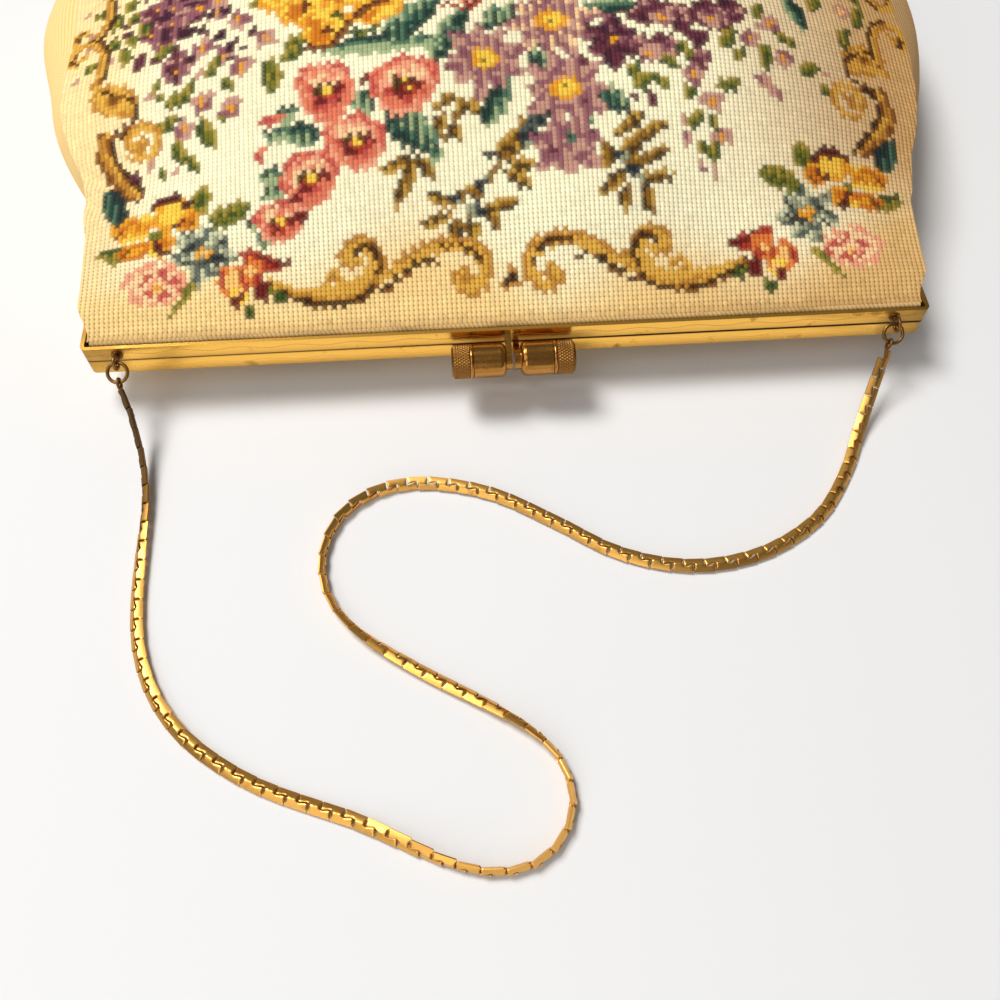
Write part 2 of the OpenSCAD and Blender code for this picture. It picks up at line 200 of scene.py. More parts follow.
class ShaderTree:
    """A material's shader tree."""

    def __init__(self, name: str) -> None:
        """Makes the material with an output and no shader yet."""
        self.material = bpy.data.materials.new(name)
        self.material.use_nodes = True
        self.tree = self.material.node_tree
        self.tree.nodes.clear()
        self.output = self.tree.nodes.new("ShaderNodeOutputMaterial")

    def node(
        self,
        kind: str,
        settings: Optional[Mapping[str, Any]] = None,
        inputs: Optional[Mapping[Union[str, int], Any]] = None,
    ) -> bpy.types.Node:
        """Adds a node.

        Args:
            kind: The node's type.
            settings: Its properties, which are set first.
            inputs: Values or links of its sockets by name or place.

        Returns:
            The node.
        """
        made = self.tree.nodes.new(kind)
        for key, setting in (settings or {}).items():
            setattr(made, key, setting)
        for key, given in (inputs or {}).items():
            if isinstance(given, Value):
                self.tree.links.new(given.socket, made.inputs[key])
            else:
                made.inputs[key].default_value = given
        return made

    def value(self, node: bpy.types.Node, output: Union[str, int] = 0) -> Value:
        """Wraps one output of a node."""
        return Value(self, node.outputs[output])

    def math(self, operation: str, *operands: Operand) -> Value:
        """Result of a Math node on the operands."""
        return self.value(self.node("ShaderNodeMath", {"operation": operation}, dict(enumerate(operands))))

    def blend(self, share: Operand, low: Any, high: Any, mode: str = "MIX") -> Value:
        """Mixes two colours.

        Args:
            share: How much of the second colour shows.
            low: The first colour, a Value or a linear colour.
            high: The second colour, a Value or a linear colour.
            mode: The Mix node's blend type.

        Returns:
            The mixed colour.
        """
        colours = [given if isinstance(given, Value) else (*given, 1.0) for given in (low, high)]
        settings = {"data_type": "RGBA", "blend_type": mode}
        made = self.node("ShaderNodeMix", settings, {0: share, 6: colours[0], 7: colours[1]})
        return self.value(made, 2)

    def place(self) -> Value:
        """Place on the piece in its own metres."""
        return self.value(self.node("ShaderNodeTexCoord"), "Object")

    def split(self, vector: Value) -> tuple[Value, Value, Value]:
        """The three parts of a vector."""
        made = self.node("ShaderNodeSeparateXYZ", None, {0: vector})
        return self.value(made, 0), self.value(made, 1), self.value(made, 2)

    def noise(self, scale: float, detail: float = 2.0, where: Optional[Value] = None) -> Value:
        """Noise from 0 to 1 over the piece.

        Args:
            scale: Grains in a metre.
            detail: Octaves of finer noise.
            where: Place of the noise, the piece's own place if left out.

        Returns:
            The noise.
        """
        inputs = {"Vector": where or self.place(), "Scale": scale, "Detail": detail}
        return self.value(self.node("ShaderNodeTexNoise", None, inputs), "Fac")

    def attribute(self, name: str, output: str) -> Value:
        """An attribute of the mesh."""
        return self.value(self.node("ShaderNodeAttribute", {"attribute_name": name}), output)

    def bump(self, height: Value, depth: float, strength: float = 1.0) -> Value:
        """Normal of a surface with that height, whose full depth is in metres."""
        inputs = {"Strength": strength, "Distance": depth, "Height": height}
        return self.value(self.node("ShaderNodeBump", None, inputs), "Normal")

    def surface(self, **inputs: Any) -> bpy.types.Material:
        """Finishes the material with a Principled shader.

        Args:
            **inputs: The shader's inputs, with spaces in their names written as underscores.

        Returns:
            The material.
        """
        ready = {}
        for key, given in inputs.items():
            flat = not isinstance(given, Value) and isinstance(given, tuple) and len(given) == 3
            ready[key.replace("_", " ")] = (*given, 1.0) if flat else given
        shader = self.node("ShaderNodeBsdfPrincipled", None, ready)
        self.tree.links.new(shader.outputs[0], self.output.inputs["Surface"])
        return self.material


# Finishes


@dataclass(frozen=True)
class GoldFinish:
    """Worn gold-tone metal."""

    name: str
    colour: Colour
    dark: Colour
    roughness: float = 0.3
    wear: float = 0.35
    grain: float = 260.0
    worn_rough: float = 0.2
    scratch_grain: float = 2400.0
    scratch_rough: float = 0.12
    scratch_depth: float = 0.000012

    def begin(self) -> tuple[ShaderTree, Value, Value]:
        """Starts the metal.

        Returns:
            The tree, the worn colour and the wear mask.
        """
        tree = ShaderTree(self.name)
        spots = tree.noise(self.grain, 4.0)
        mask = spots.step(0.72 - self.wear * 0.4, 0.86 - self.wear * 0.2)
        return tree, tree.blend(mask * 0.8, self.colour, self.dark), mask

    def scratched(self, tree: ShaderTree, colour: Value, rough: Value) -> bpy.types.Material:
        """Finishes the metal with fine scratches.

        Args:
            tree: The tree.
            colour: The metal's colour.
            rough: Its roughness between the scratches.

        Returns:
            The material.
        """
        scratches = tree.noise(self.scratch_grain, 2.0)
        rough = rough + (scratches - 0.5) * self.scratch_rough
        normal = tree.bump(scratches, self.scratch_depth)
        return tree.surface(Base_Color=colour, Metallic=1.0, Roughness=rough, Normal=normal)

    def material(self) -> bpy.types.Material:
        """The metal with fine scratches and spots of wear."""
        tree, colour, mask = self.begin()
        return self.scratched(tree, colour, self.roughness + mask * self.worn_rough)


@dataclass(frozen=True)
class FrameFinish(GoldFinish):
    """Gold-tone metal of the frame, with an engraved wavy line on each strip, dark corners and painted shade
    in the seam between its two halves.
    """

    seam_z: float = 0.0132
    strip_middle: float = 0.0023
    strip_half: float = 0.002
    half_width: float = 0.1
    end_reach: float = 0.014
    eye_x: float = 0.092
    eye_reach: Point2 = (0.001, 0.006)
    wave_long: float = 0.0135
    wave_high: float = 0.0004
    line: float = 0.00009
    tick: float = 0.0009
    tick_least: float = 0.2
    lower_share: float = 0.35
    edge: float = 0.0001
    # Reach and strength of the painted shade in the seam gap between the two halves, stronger towards the
    # right
    seam_shade: Point2 = (0.0002, 0.0005)
    seam_shade_least: float = 0.45
    seam_shade_fade: Point2 = (-0.05, 0.03)
    smudge_grain: float = 70.0
    fine_grain: float = 3000.0
    relief: float = 0.0001
    # Colour of the painted shade in the seam gap
    seam_shade_dark: Colour = linear(58, 36, 18)
    patina_brown: Colour = linear(92, 62, 30)

    def engraved(self, x: Value, z: Value, off_seam: Value) -> Value:
        """Mask of the engraved line, a wavy row of ticks that is fainter on the lower strip.

        Args:
            x: Place along the frame.
            z: Height.
            off_seam: Distance from the seam between the two halves.

        Returns:
            The mask.
        """
        wave = (x * (2 * math.pi / self.wave_long)).sine() * self.wave_high
        ticks = (x * (1 / self.tick)).fraction().step(0.25, 0.4)
        above = (z - self.seam_z).step(-self.edge, self.edge)
        mask = 1 - abs(off_seam - self.strip_middle - wave).step(self.line, self.line * 2)
        ticked = self.tick_least + ticks * (1 - self.tick_least)
        return mask * ticked * (self.lower_share + above * (1 - self.lower_share))

    def patina(self, tree: ShaderTree, x: Value) -> Value:
        """Mask of the brown patina at the frame's ends and round the chain eyes.

        Args:
            tree: The tree.
            x: Place along the frame.

        Returns:
            The mask.
        """
        smudge = tree.noise(self.smudge_grain, 5.0)
        ends = abs(x).step(self.half_width - self.end_reach, self.half_width)
        eyes = 1 - abs(abs(x) - self.eye_x).step(*self.eye_reach)
        return (ends * 1.1 + eyes * 0.35 + smudge * 1.3 - 1.08).clip()

    def material(self) -> bpy.types.Material:
        """The metal with its engraving, painted shade in the seam between the two halves and its patina.

        Returns:
            The material.
        """
        tree, colour, mask = self.begin()
        x, _, z = tree.split(tree.place())
        off_seam = abs(z - self.seam_z)
        engraved = self.engraved(x, z, off_seam)
        patina = self.patina(tree, x)
        # Painted shade: a dark line along the seam gap between the two halves, fainter on the left
        seen = self.seam_shade_least + x.step(*self.seam_shade_fade) * (1 - self.seam_shade_least)
        seam_shade = (1 - off_seam.step(*self.seam_shade)) * seen
        shade = tree.blend((engraved * 0.2).clip(), colour, self.dark)
        shade = tree.blend(seam_shade, shade, self.seam_shade_dark)
        shade = tree.blend(patina, shade, self.patina_brown)
        rounded = 1 - ((off_seam - self.strip_middle) * (1 / self.strip_half)) ** 2.0
        fine = tree.noise(self.fine_grain, 2.0)
        height = rounded * 1.7 + fine * 0.15 - engraved * 0.35
        rough = self.roughness + patina * 0.3 + mask * 0.15 + engraved * 0.2
        normal = tree.bump(height, self.relief)
        return tree.surface(Base_Color=shade, Metallic=1.0, Roughness=rough, Normal=normal)


@dataclass(frozen=True)
class ChainFinish(GoldFinish):
    """Gold-tone metal of the chain, brown where the mesh's age attribute says so."""

    brown: Colour = linear(84, 58, 36)
    aged_rough: float = 0.2

    def material(self) -> bpy.types.Material:
        """The metal with its aged ends.

        Returns:
            The material.
        """
        tree, colour, mask = self.begin()
        age = tree.attribute("age", "Fac")
        rough = self.roughness + mask * self.worn_rough + age * self.aged_rough
        return self.scratched(tree, tree.blend(age, colour, self.brown), rough)


@dataclass(frozen=True)
class WoolFinish:
    """Petit-point wool: columns of slanted stitches, with painted warm shade in the holes between them,
    along the lines between the columns and across each stitch.
    """

    name: str
    # hole, line and slant set painted shade: in the holes, along the lines between columns and across each
    # stitch; lit paints the stitch faces a little brighter than their wool
    hole: Colour = (0.6, 0.7, 0.8)
    lit: float = 1.09
    line: float = 0.07
    slant: float = 0.04
    fuzz: float = 0.16
    fibre_grain: float = 3800.0
    relief: float = 0.0002
    roughness: float = 0.92
    shine: float = 0.2

    def material(self) -> bpy.types.Material:
        """Wool from the mesh's wool and stitch attributes; the third part of stitch sets how deep the holes
        are and how much painted shade lies in them.

        Returns:
            The material.
        """
        tree = ShaderTree(self.name)
        wool = tree.attribute("wool", "Color")
        column, row, hole_depth_and_shade = tree.split(tree.attribute("stitch", "Vector"))
        across = column.fraction() - 0.5
        along = row.fraction() - 0.5
        rib = abs(across) * 2
        weave = abs(along) * 2
        # Painted shade in the holes, as strong as the third part of the stitch attribute says
        hole = rib.step(0.5, 0.95) * weave.step(0.4, 0.95) * hole_depth_and_shade
        line = rib.step(0.6, 1.0)
        slant = abs(across * 0.8 - along)
        fibre = tree.noise(self.fibre_grain, 2.0)
        # Painted shade along the column lines and across the slant of each stitch
        body = self.lit - line * self.line - slant * self.slant + (fibre - 0.5) * self.fuzz
        shades = {i: body - hole * depth for i, depth in enumerate(self.hole)}
        tint = tree.value(tree.node("ShaderNodeCombineColor", None, shades))
        colour = tree.blend(1.0, wool, tint, "MULTIPLY")
        height = (1 - rib ** 2.0 * 0.6 - slant * 0.4 - hole * 0.8) + fibre * 0.25
        normal = tree.bump(height, self.relief)
        return tree.surface(
            Base_Color=colour, Roughness=self.roughness, Normal=normal, Specular_IOR_Level=self.shine
        )


@dataclass(frozen=True)
class ClothFinish:
    """Plain thread or cloth."""

    name: str
    colour: Colour
    dark: Colour
    roughness: float = 0.85
    grain: float = 1500.0
    dirt_grain: float = 90.0
    relief: float = 0.00006

    def material(self) -> bpy.types.Material:
        """Cloth with a fine grain and a little dirt.

        Returns:
            The material.
        """
        tree = ShaderTree(self.name)
        fine = tree.noise(self.grain, 2.0)
        dirt = tree.noise(self.dirt_grain, 4.0).step(0.45, 0.8)
        colour = tree.blend((dirt * 0.6 + (fine - 0.5) * 0.3).clip(), self.colour, self.dark)
        normal = tree.bump(fine, self.relief)
        return tree.surface(Base_Color=colour, Roughness=self.roughness, Normal=normal)


# Meshes


def mesh_piece(name: str, points: np.ndarray, faces: np.ndarray, smooth: bool = True) -> bpy.types.Object:
    """Makes a mesh object.

    Args:
        name: The piece's name.
        points: Points in millimetres.
        faces: Faces with the same number of corners each, as places in points.
        smooth: Whether the faces are shaded smooth.

    Returns:
        The object, linked to the scene.
    """
    mesh = bpy.data.meshes.new(name)
    mesh.vertices.add(len(points))
    mesh.vertices.foreach_set("co", (np.asarray(points) * MM).astype(np.float32).ravel())
    mesh.loops.add(faces.size)
    mesh.loops.foreach_set("vertex_index", faces.astype(np.int32).ravel())
    mesh.polygons.add(len(faces))
    starts = np.arange(0, faces.size, faces.shape[1], dtype=np.int32)
    mesh.polygons.foreach_set("loop_start", starts)
    mesh.polygons.foreach_set("use_smooth", np.full(len(faces), smooth))
    mesh.update(calc_edges=True)
    piece = bpy.data.objects.new(name, mesh)
    bpy.context.scene.collection.objects.link(piece)
    return piece


def grid_faces(rows: int, columns: int, closed: bool = False) -> np.ndarray:
    """Quads of a grid of points.

    Args:
        rows: Rows of points.
        columns: Points in a row.
        closed: Whether the last column joins the first.

    Returns:
        The faces.
    """
    row = np.arange(rows - 1)[:, None]
    column = np.arange(columns if closed else columns - 1)[None, :]
    after = (column + 1) % columns
    here, below = row * columns, (row + 1) * columns
    quads = [here + column, here + after, below + after, below + column]
    return np.stack(quads, -1).reshape(-1, 4)


def halves(quads: np.ndarray) -> np.ndarray:
    """Two triangles of each quad."""
    return np.vstack([quads[:, [0, 1, 2]], quads[:, [0, 2, 3]]])


def set_vector(piece: bpy.types.Object, name: str, values: np.ndarray) -> None:
    """Gives the piece's points a vector attribute."""
    made = piece.data.attributes.new(name, "FLOAT_VECTOR", "POINT")
    made.data.foreach_set("vector", values.astype(np.float32).ravel())


def set_wool(piece: bpy.types.Object, domain: str, colours: np.ndarray) -> None:
    """Gives the piece's points or face corners their wool."""
    made = piece.data.attributes.new("wool", "FLOAT_COLOR", domain)
    made.data.foreach_set("color", colours.astype(np.float32).ravel())


def dress(piece: bpy.types.Object, material: bpy.types.Material) -> None:
    """Gives the piece one material."""
    piece.data.materials.clear()
    piece.data.materials.append(material)


def mount(piece: bpy.types.Object, material: bpy.types.Material, body: str, node: str) -> None:
    """Dresses a piece that rides on a body in the place of a CAD node.

    Args:
        piece: The piece.
        material: Its finish.
        body: The body that it rides on.
        node: The CAD node that it replaces.
    """
    dress(piece, material)
    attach(piece, body)
    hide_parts(node)


# Stage


@dataclass(frozen=True)
class Lamp:
    """A square soft lamp that faces the bag, with its sizes in metres and its power in watts."""

    name: str
    place: Point3
    size: float
    power: float
    tint: Colour
    aim: Point3 = (0.0, -0.05, 0.0)

    def hang(self) -> None:
        """Makes the lamp and turns it to the bag."""
        data = bpy.data.lights.new(self.name, "AREA")
        data.shape = "SQUARE"
        data.size = self.size
        data.energy = self.power
        data.color = self.tint
        lamp = bpy.data.objects.new(self.name, data)
        lamp.location = self.place
        way = Vector(self.aim) - Vector(self.place)
        lamp.rotation_euler = way.to_track_quat("-Z", "Y").to_euler()
        bpy.context.scene.collection.objects.link(lamp)


@dataclass
class Studio:
    """Camera at the photograph's viewing angle, pale floor and soft light."""

    image: float = 1000.0
    focal: float = 971.4
    sensor: float = 36.0
    azimuth: float = -4.25
    elevation: float = 59.47
    roll: float = 0.515
    eye: Point3 = (-13.53, -223.59, 193.08)
    near: float = 0.01
    floor_size: float = 4.0
    floor_tone: Colour = linear(238, 239, 241)
    sky: float = 0.15
    sky_tint: Colour = (1.0, 0.98, 0.95)
    lamps: tuple[Lamp, ...] = (
        Lamp("key", (-0.76, 0.46, 1.67), 0.7, 31.0, (1.0, 0.98, 0.95)),
        Lamp("fill", (-0.6, -0.6, 1.0), 0.9, 3.2, (1.0, 0.99, 0.98)),
        Lamp("low", (-0.25, -0.75, 0.24), 0.4, 1.0, (1.0, 0.96, 0.9)),
    )

    def camera(self) -> None:
        """Places the camera."""
        a, e, r = (math.radians(v) for v in (self.azimuth, self.elevation, self.roll))
        back = Vector((math.sin(a) * math.cos(e), -math.cos(a) * math.cos(e), math.sin(e)))
        right = Vector((math.cos(a), math.sin(a), 0))
        up = back.cross(right)
        turned_right = right * math.cos(r) + up * math.sin(r)
        turned_up = up * math.cos(r) - right * math.sin(r)
        data = bpy.data.cameras.new("camera")
        data.sensor_width = self.sensor
        data.lens = self.sensor * self.focal / self.image
        data.clip_start = self.near
        camera = bpy.data.objects.new("camera", data)
        turn = Matrix((turned_right, turned_up, back)).transposed().to_4x4()
        camera.matrix_world = Matrix.Translation(Vector(self.eye) * MM) @ turn
        bpy.context.scene.collection.objects.link(camera)
        bpy.context.scene.camera = camera

    def floor(self) -> None:
        """Lays the pale floor."""
        half = self.floor_size / MM / 2
        points = np.array([(-half, -half, 0), (half, -half, 0), (half, half, 0), (-half, half, 0)])
        floor = mesh_piece("floor", points, np.array([[0, 1, 2, 3]]))
        tree = ShaderTree("floor_white")
        dress(floor, tree.surface(Base_Color=self.floor_tone, Roughness=0.9, Specular_IOR_Level=0.2))

    def light(self) -> None:
        """Hangs the lamps and sets the surroundings."""
        for lamp in self.lamps:
            lamp.hang()
        world = bpy.data.worlds.new("surroundings")
        world.use_nodes = True
        shade = world.node_tree.nodes["Background"]
        shade.inputs["Color"].default_value = (*self.sky_tint, 1.0)
        shade.inputs["Strength"].default_value = self.sky
        bpy.context.scene.world = world
        bpy.context.scene.view_settings.view_transform = "Standard"

    def build(self) -> None:
        """Sets the whole stage."""
        self.camera()
        self.floor()
        self.light()


# Pouch


@dataclass(frozen=True)
class Pouch:
    """Shape of the soft pouch, as the CAD source has it; y counts from the outer face of the frame's bar."""

    long: float = 158.0
    high: float = 52.0
    half_wide: float = 110.0
    side_bulge: float = 14.5
    seam_z: float = 13.2
    half_depth: float = 4.1
    mouth_y: float = 3.3
    neck_half: float = 98.4
    neck_y: float = 30.1
    full_y: float = 75.1
    neck_fold: float = -1.7
    neck_puff: float = 2.0
    overhang: float = 3.0
    bottom_z: float = 20.0
    bottom_round: float = 46.0
    corner_round: float = 34.0
    crown: float = 2.4
    belly_share: float = 0.72
    slit: float = 0.2
    crest_y: float = 96.0
    bar_y: float = -74.2
    lip: float = 0.4
    spill_least: float = 0.5
    spill_full_y: float = 12.0
    spill_end_y: float = 46.0
    spill_fade: float = 6.0
    bulge_full_y: float = 112.0
    seam_share: float = 0.66
    seam_full_y: float = 85.0
    puff_full_y: float = 11.0
    puff_end_y: float = 60.0
    back_seam_z: float = 4.5
    back_full_y: float = 40.0
    belly_full_y: float = 24.0
    left_pulls: tuple[Point3, ...] = ((2.0, 44.0, 11.0), (1.3, 84.0, 16.0), (-1.0, 114.0, 14.0))
    right_pull: Point3 = (1.2, 52.0, 12.0)
    fold_high: float = 0.7
    swell_high: float = 0.55
    front_hold: tuple[Point2, Point2] = ((38.0, 13.2), (12.0, 13.2))
    side_hold: tuple[Point2, Point2] = ((12.0, 14.774), (10.573, 18.338))

    @property
    def mouth_top(self) -> float:
        """Height of the front panel at the mouth."""
        return self.seam_z + self.half_depth - self.lip

    @property
    def mouth_bottom(self) -> float:
        """Height of the back panel at the mouth."""
        return self.seam_z - self.half_depth + self.lip

    def closing(self, y: np.ndarray, inset: float) -> np.ndarray:
        """Share of the section's height that is left towards the bottom seam."""
        k = np.maximum(0, (y - (self.long - self.bottom_round)) / (self.bottom_round - inset))
        return np.sqrt(np.maximum(0, 1 - k * k))

    def edge(self, y: np.ndarray, inset: float = 0.0) -> np.ndarray:
        """Half width of a panel.

        Args:
            y: Places along the bag.
            inset: How far the wall is set in.

        Returns:
            The half widths.
        """
        k = np.maximum(0, (y - (self.long - self.corner_round)) / (self.corner_round - inset))
        trim = self.corner_round * (1 - np.sqrt(np.maximum(0, 1 - k * k)))
        turn = np.clip((y - self.neck_y) / (self.full_y - self.neck_y), 0, 1) * math.pi / 2
        return mix(self.neck_half, self.half_wide, np.sin(turn)) - trim - inset

    def spill(self, y: np.ndarray) -> np.ndarray:
        """How far the front panel spills over the arms of the frame."""
        grown = mix(self.spill_least, self.overhang, ease(self.mouth_y + 1, self.spill_full_y, y))
        return grown * (1 - ease(self.neck_y, self.spill_end_y, y))

    def bulge(self, y: np.ndarray, inset: float) -> np.ndarray:
        """How far a gusset stands past its seams."""
        grown = mix(self.neck_fold, self.side_bulge, ease(self.neck_y, self.bulge_full_y, y))
        return grown * self.closing(y, inset)

    def upper(self, z: np.ndarray, y: np.ndarray, inset: float) -> np.ndarray:
        """Height above the bottom seam, closed towards it."""
        return mix(self.bottom_z + self.slit / 2, z - inset, self.closing(y, inset))

    def lower(self, z: np.ndarray, y: np.ndarray, inset: float) -> np.ndarray:
        """Height below the bottom seam, closed towards it."""
        return mix(self.bottom_z - self.slit / 2, z + inset, self.closing(y, inset))

    def crest(self, y: np.ndarray, inset: float = 0.0) -> np.ndarray:
        """Height of the front panel along its middle."""
        turn = np.minimum(1, (y - self.mouth_y) / (self.crest_y - self.mouth_y)) * math.pi / 2
        return self.upper(self.mouth_top + (self.high - self.mouth_top) * np.sin(turn), y, inset)

    def front_seam(self, y: np.ndarray, inset: float = 0.0) -> np.ndarray:
        """Height of the seam between the front panel and a gusset.

        Args:
            y: Places along the bag.
            inset: How far the wall is set in.

        Returns:
            The heights.
        """
        raw = mix(self.mouth_top, self.seam_share * self.high, ease(self.mouth_y, self.seam_full_y, y))
        grown = self.neck_puff * ease(self.mouth_y, self.puff_full_y, y)
        return self.upper(raw + grown * (1 - ease(self.neck_y, self.puff_end_y, y)), y, inset)

    def back_seam(self, y: np.ndarray, inset: float = 0.0) -> np.ndarray:
        """Height of the seam between the back panel and a gusset."""
        raw = mix(self.mouth_bottom, self.back_seam_z, ease(self.mouth_y, self.back_full_y, y))
        return self.lower(raw, y, inset)

    def belly(self, y: np.ndarray, inset: float = 0.0) -> np.ndarray:
        """Height of the back panel along its middle."""
        raw = mix(self.mouth_bottom, 0.0, ease(self.mouth_y, self.belly_full_y, y))
        return self.lower(raw, y, inset)

    def front_edge(self, y: np.ndarray, inset: float = 0.0) -> np.ndarray:
        """Half width of the front panel, or of the front lining where there is an inset."""
        return self.edge(y, inset) + (0 if inset else self.spill(y))

    def front(self, x: np.ndarray, y: np.ndarray, inset: float = 0.0) -> np.ndarray:
        """Points of the front panel.

        Args:
            x: Places across the bag from its middle.
            y: Places along the bag.
            inset: How far the wall is set in.

        Returns:
            The points.
        """
        u = np.clip(np.abs(x) / self.front_edge(y, inset), 0, 1)
        z = mix(self.front_seam(y, inset), self.crest(y, inset), 1 - u**self.crown)
        return np.stack(np.broadcast_arrays(x, self.bar_y + y, z), -1)

    def back(self, x: np.ndarray, y: np.ndarray, inset: float = 0.0) -> np.ndarray:
        """Points of the back panel.

        Args:
            x: Places across the bag from its middle.
            y: Places along the bag.
            inset: How far the wall is set in.

        Returns:
            The points.
        """
        u = np.clip(np.abs(x) / self.edge(y, inset), 0, 1)
        rise = (np.maximum(0, u - self.belly_share) / (1 - self.belly_share)) ** 2
        z = mix(self.belly(y, inset), self.back_seam(y, inset), rise)
        return np.stack(np.broadcast_arrays(x, self.bar_y + y, z), -1)

    def gusset(self, side: int, g: np.ndarray, y: np.ndarray, inset: float = 0.0) -> np.ndarray:
        """Points of a gusset.

        Args:
            side: -1 for the left one, 1 for the right one.
            g: 0 at the front seam to 1 at the back seam.
            y: Place along the bag.
            inset: How far the wall is set in.

        Returns:
            The points.
        """
        spill = 0 if inset else self.spill(y) * np.clip(1 - self.spill_fade * g, 0, 1)
        x = side * (self.edge(y, inset) + spill + self.bulge(y, inset) * 4 * g * (1 - g))
        z = mix(self.front_seam(y, inset), self.back_seam(y, inset), g)
        return np.stack(np.broadcast_arrays(x, self.bar_y + y, z), -1)

    def rumple(self, points: np.ndarray) -> np.ndarray:
        """Lets the cloth pull in and fold a little, more on the left than on the right.

        Args:
            points: Points of the smooth pouch.

        Returns:
            The moved points.
        """
        x, y = points[..., 0], points[..., 1] - self.bar_y
        left, right = ease(60, 100, -x), ease(60, 100, x)
        soft = ease(8, 30, y) * (1 - ease(130, 156, y))
        pull = sum(size * hump(at, wide, y) for size, at, wide in self.left_pulls)
        size, at, wide = self.right_pull
        moved = points.copy()
        moved[..., 0] += soft * (left * pull + right * size * hump(at, wide, y))
        folds = np.sin(0.9 * (y + 0.6 * x)) * hump(46, 12, y) * ease(86, 100, -x)
        swell = np.sin(0.07 * x + 0.5) * np.sin(0.075 * y) + 0.5 * np.sin(0.13 * x - 0.05 * y)
        high = ease(6, 20, points[..., 2])
        moved[..., 2] += soft * high * (self.fold_high * folds + self.swell_high * swell)
        return moved

    def paced(self, count: int, back: bool = False) -> tuple[np.ndarray, np.ndarray]:
        """Places along the bag at even steps of the cloth.

        Args:
            count: Number of steps.
            back: Whether the cloth is the back panel.

        Returns:
            The places and their distances along the cloth.
        """
        y = np.linspace(self.mouth_y, self.long, 6000)
        z = self.belly(y) if back else self.crest(y)
        run = np.concatenate([[0], np.cumsum(np.hypot(np.diff(y), np.diff(z)))])
        steps = np.linspace(0, run[-1], count + 1)
        return np.interp(steps, run, y), steps

    def follow(self, piece: bpy.types.Object, front: bool) -> None:
        """Bakes the placement of a piece of cloth into its mesh.

        Args:
            piece: The cloth.
            front: Not used; whether all of its mouth is held by the front half, and not only its front edge.
        """
        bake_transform(piece)


# Needlework


class Wool(Enum):
    """Colours of the wool."""

    GROUND = linear(255, 246, 206)
    WARM = linear(252, 212, 136)
    # Dust, partly standing for painted shade on the right side and on the right gusset
    DUST_AND_SHADE = linear(208, 160, 98)
    GOLD = linear(222, 169, 69)
    TAN = linear(188, 129, 48)
    BROWN = linear(122, 73, 26)
    DARK_BROWN = linear(56, 29, 13)
    YELLOW = linear(250, 204, 74)
    AMBER = linear(230, 157, 40)
    ORANGE = linear(204, 116, 29)
    MAROON = linear(86, 33, 27)
    PEACH = linear(250, 194, 112)
    FLAME = linear(224, 120, 56)
    RED = linear(166, 55, 37)
    DARK_RED = linear(104, 29, 26)
    BLUSH = linear(252, 208, 156)
    PINK = linear(238, 160, 126)
    ROSE = linear(192, 76, 70)
    CORAL = linear(222, 118, 88)
    LILAC = linear(196, 147, 129)
    VIOLET = linear(142, 88, 96)
    PLUM = linear(98, 46, 58)
    DEEP_PLUM = linear(66, 32, 46)
    SKY = linear(206, 208, 171)
    BLUE = linear(148, 152, 124)
    SLATE = linear(80, 90, 82)
    NAVY = linear(40, 45, 50)
    MINT = linear(158, 174, 128)
    TEAL = linear(74, 110, 87)
    DARK_TEAL = linear(32, 57, 49)
    OLIVE = linear(160, 139, 53)
    MOSS = linear(112, 112, 37)
    GREEN = linear(58, 76, 30)
    STRAW = linear(190, 147, 58)
    TWIG = linear(136, 96, 32)
    BARK = linear(70, 49, 21)


Tones = tuple[Wool, ...]
Place = tuple[float, ...]
LEAF_TEAL: Tones = (Wool.MINT, Wool.TEAL, Wool.DARK_TEAL, Wool.DARK_TEAL)
LEAF_MINT: Tones = (Wool.MINT, Wool.MINT, Wool.TEAL, Wool.DARK_TEAL)
LEAF_OLIVE: Tones = (Wool.OLIVE, Wool.MOSS, Wool.GREEN)
LEAF_TWIG: Tones = (Wool.STRAW, Wool.TWIG, Wool.BARK)
LEAF_ICE: Tones = (Wool.SKY, Wool.BLUE, Wool.SLATE)
LEAF_ASTER: Tones = (Wool.LILAC, Wool.LILAC, Wool.VIOLET)
LEAF_PLUM: Tones = (Wool.VIOLET, Wool.PLUM, Wool.DEEP_PLUM)
CORAL: Tones = (Wool.CORAL, Wool.BLUSH, Wool.BLUSH, Wool.PINK, Wool.CORAL, Wool.ROSE)
CORAL_DEEP: Tones = (Wool.DARK_RED, Wool.RED, Wool.ROSE, Wool.CORAL, Wool.CORAL, Wool.PINK)
ROSE: Tones = (Wool.PINK, Wool.BLUSH, Wool.BLUSH, Wool.PINK)
SCROLL: Tones = (Wool.TAN, Wool.GOLD, Wool.GOLD)
EDGE: Tones = (Wool.DARK_BROWN, Wool.DARK_BROWN, Wool.BROWN)


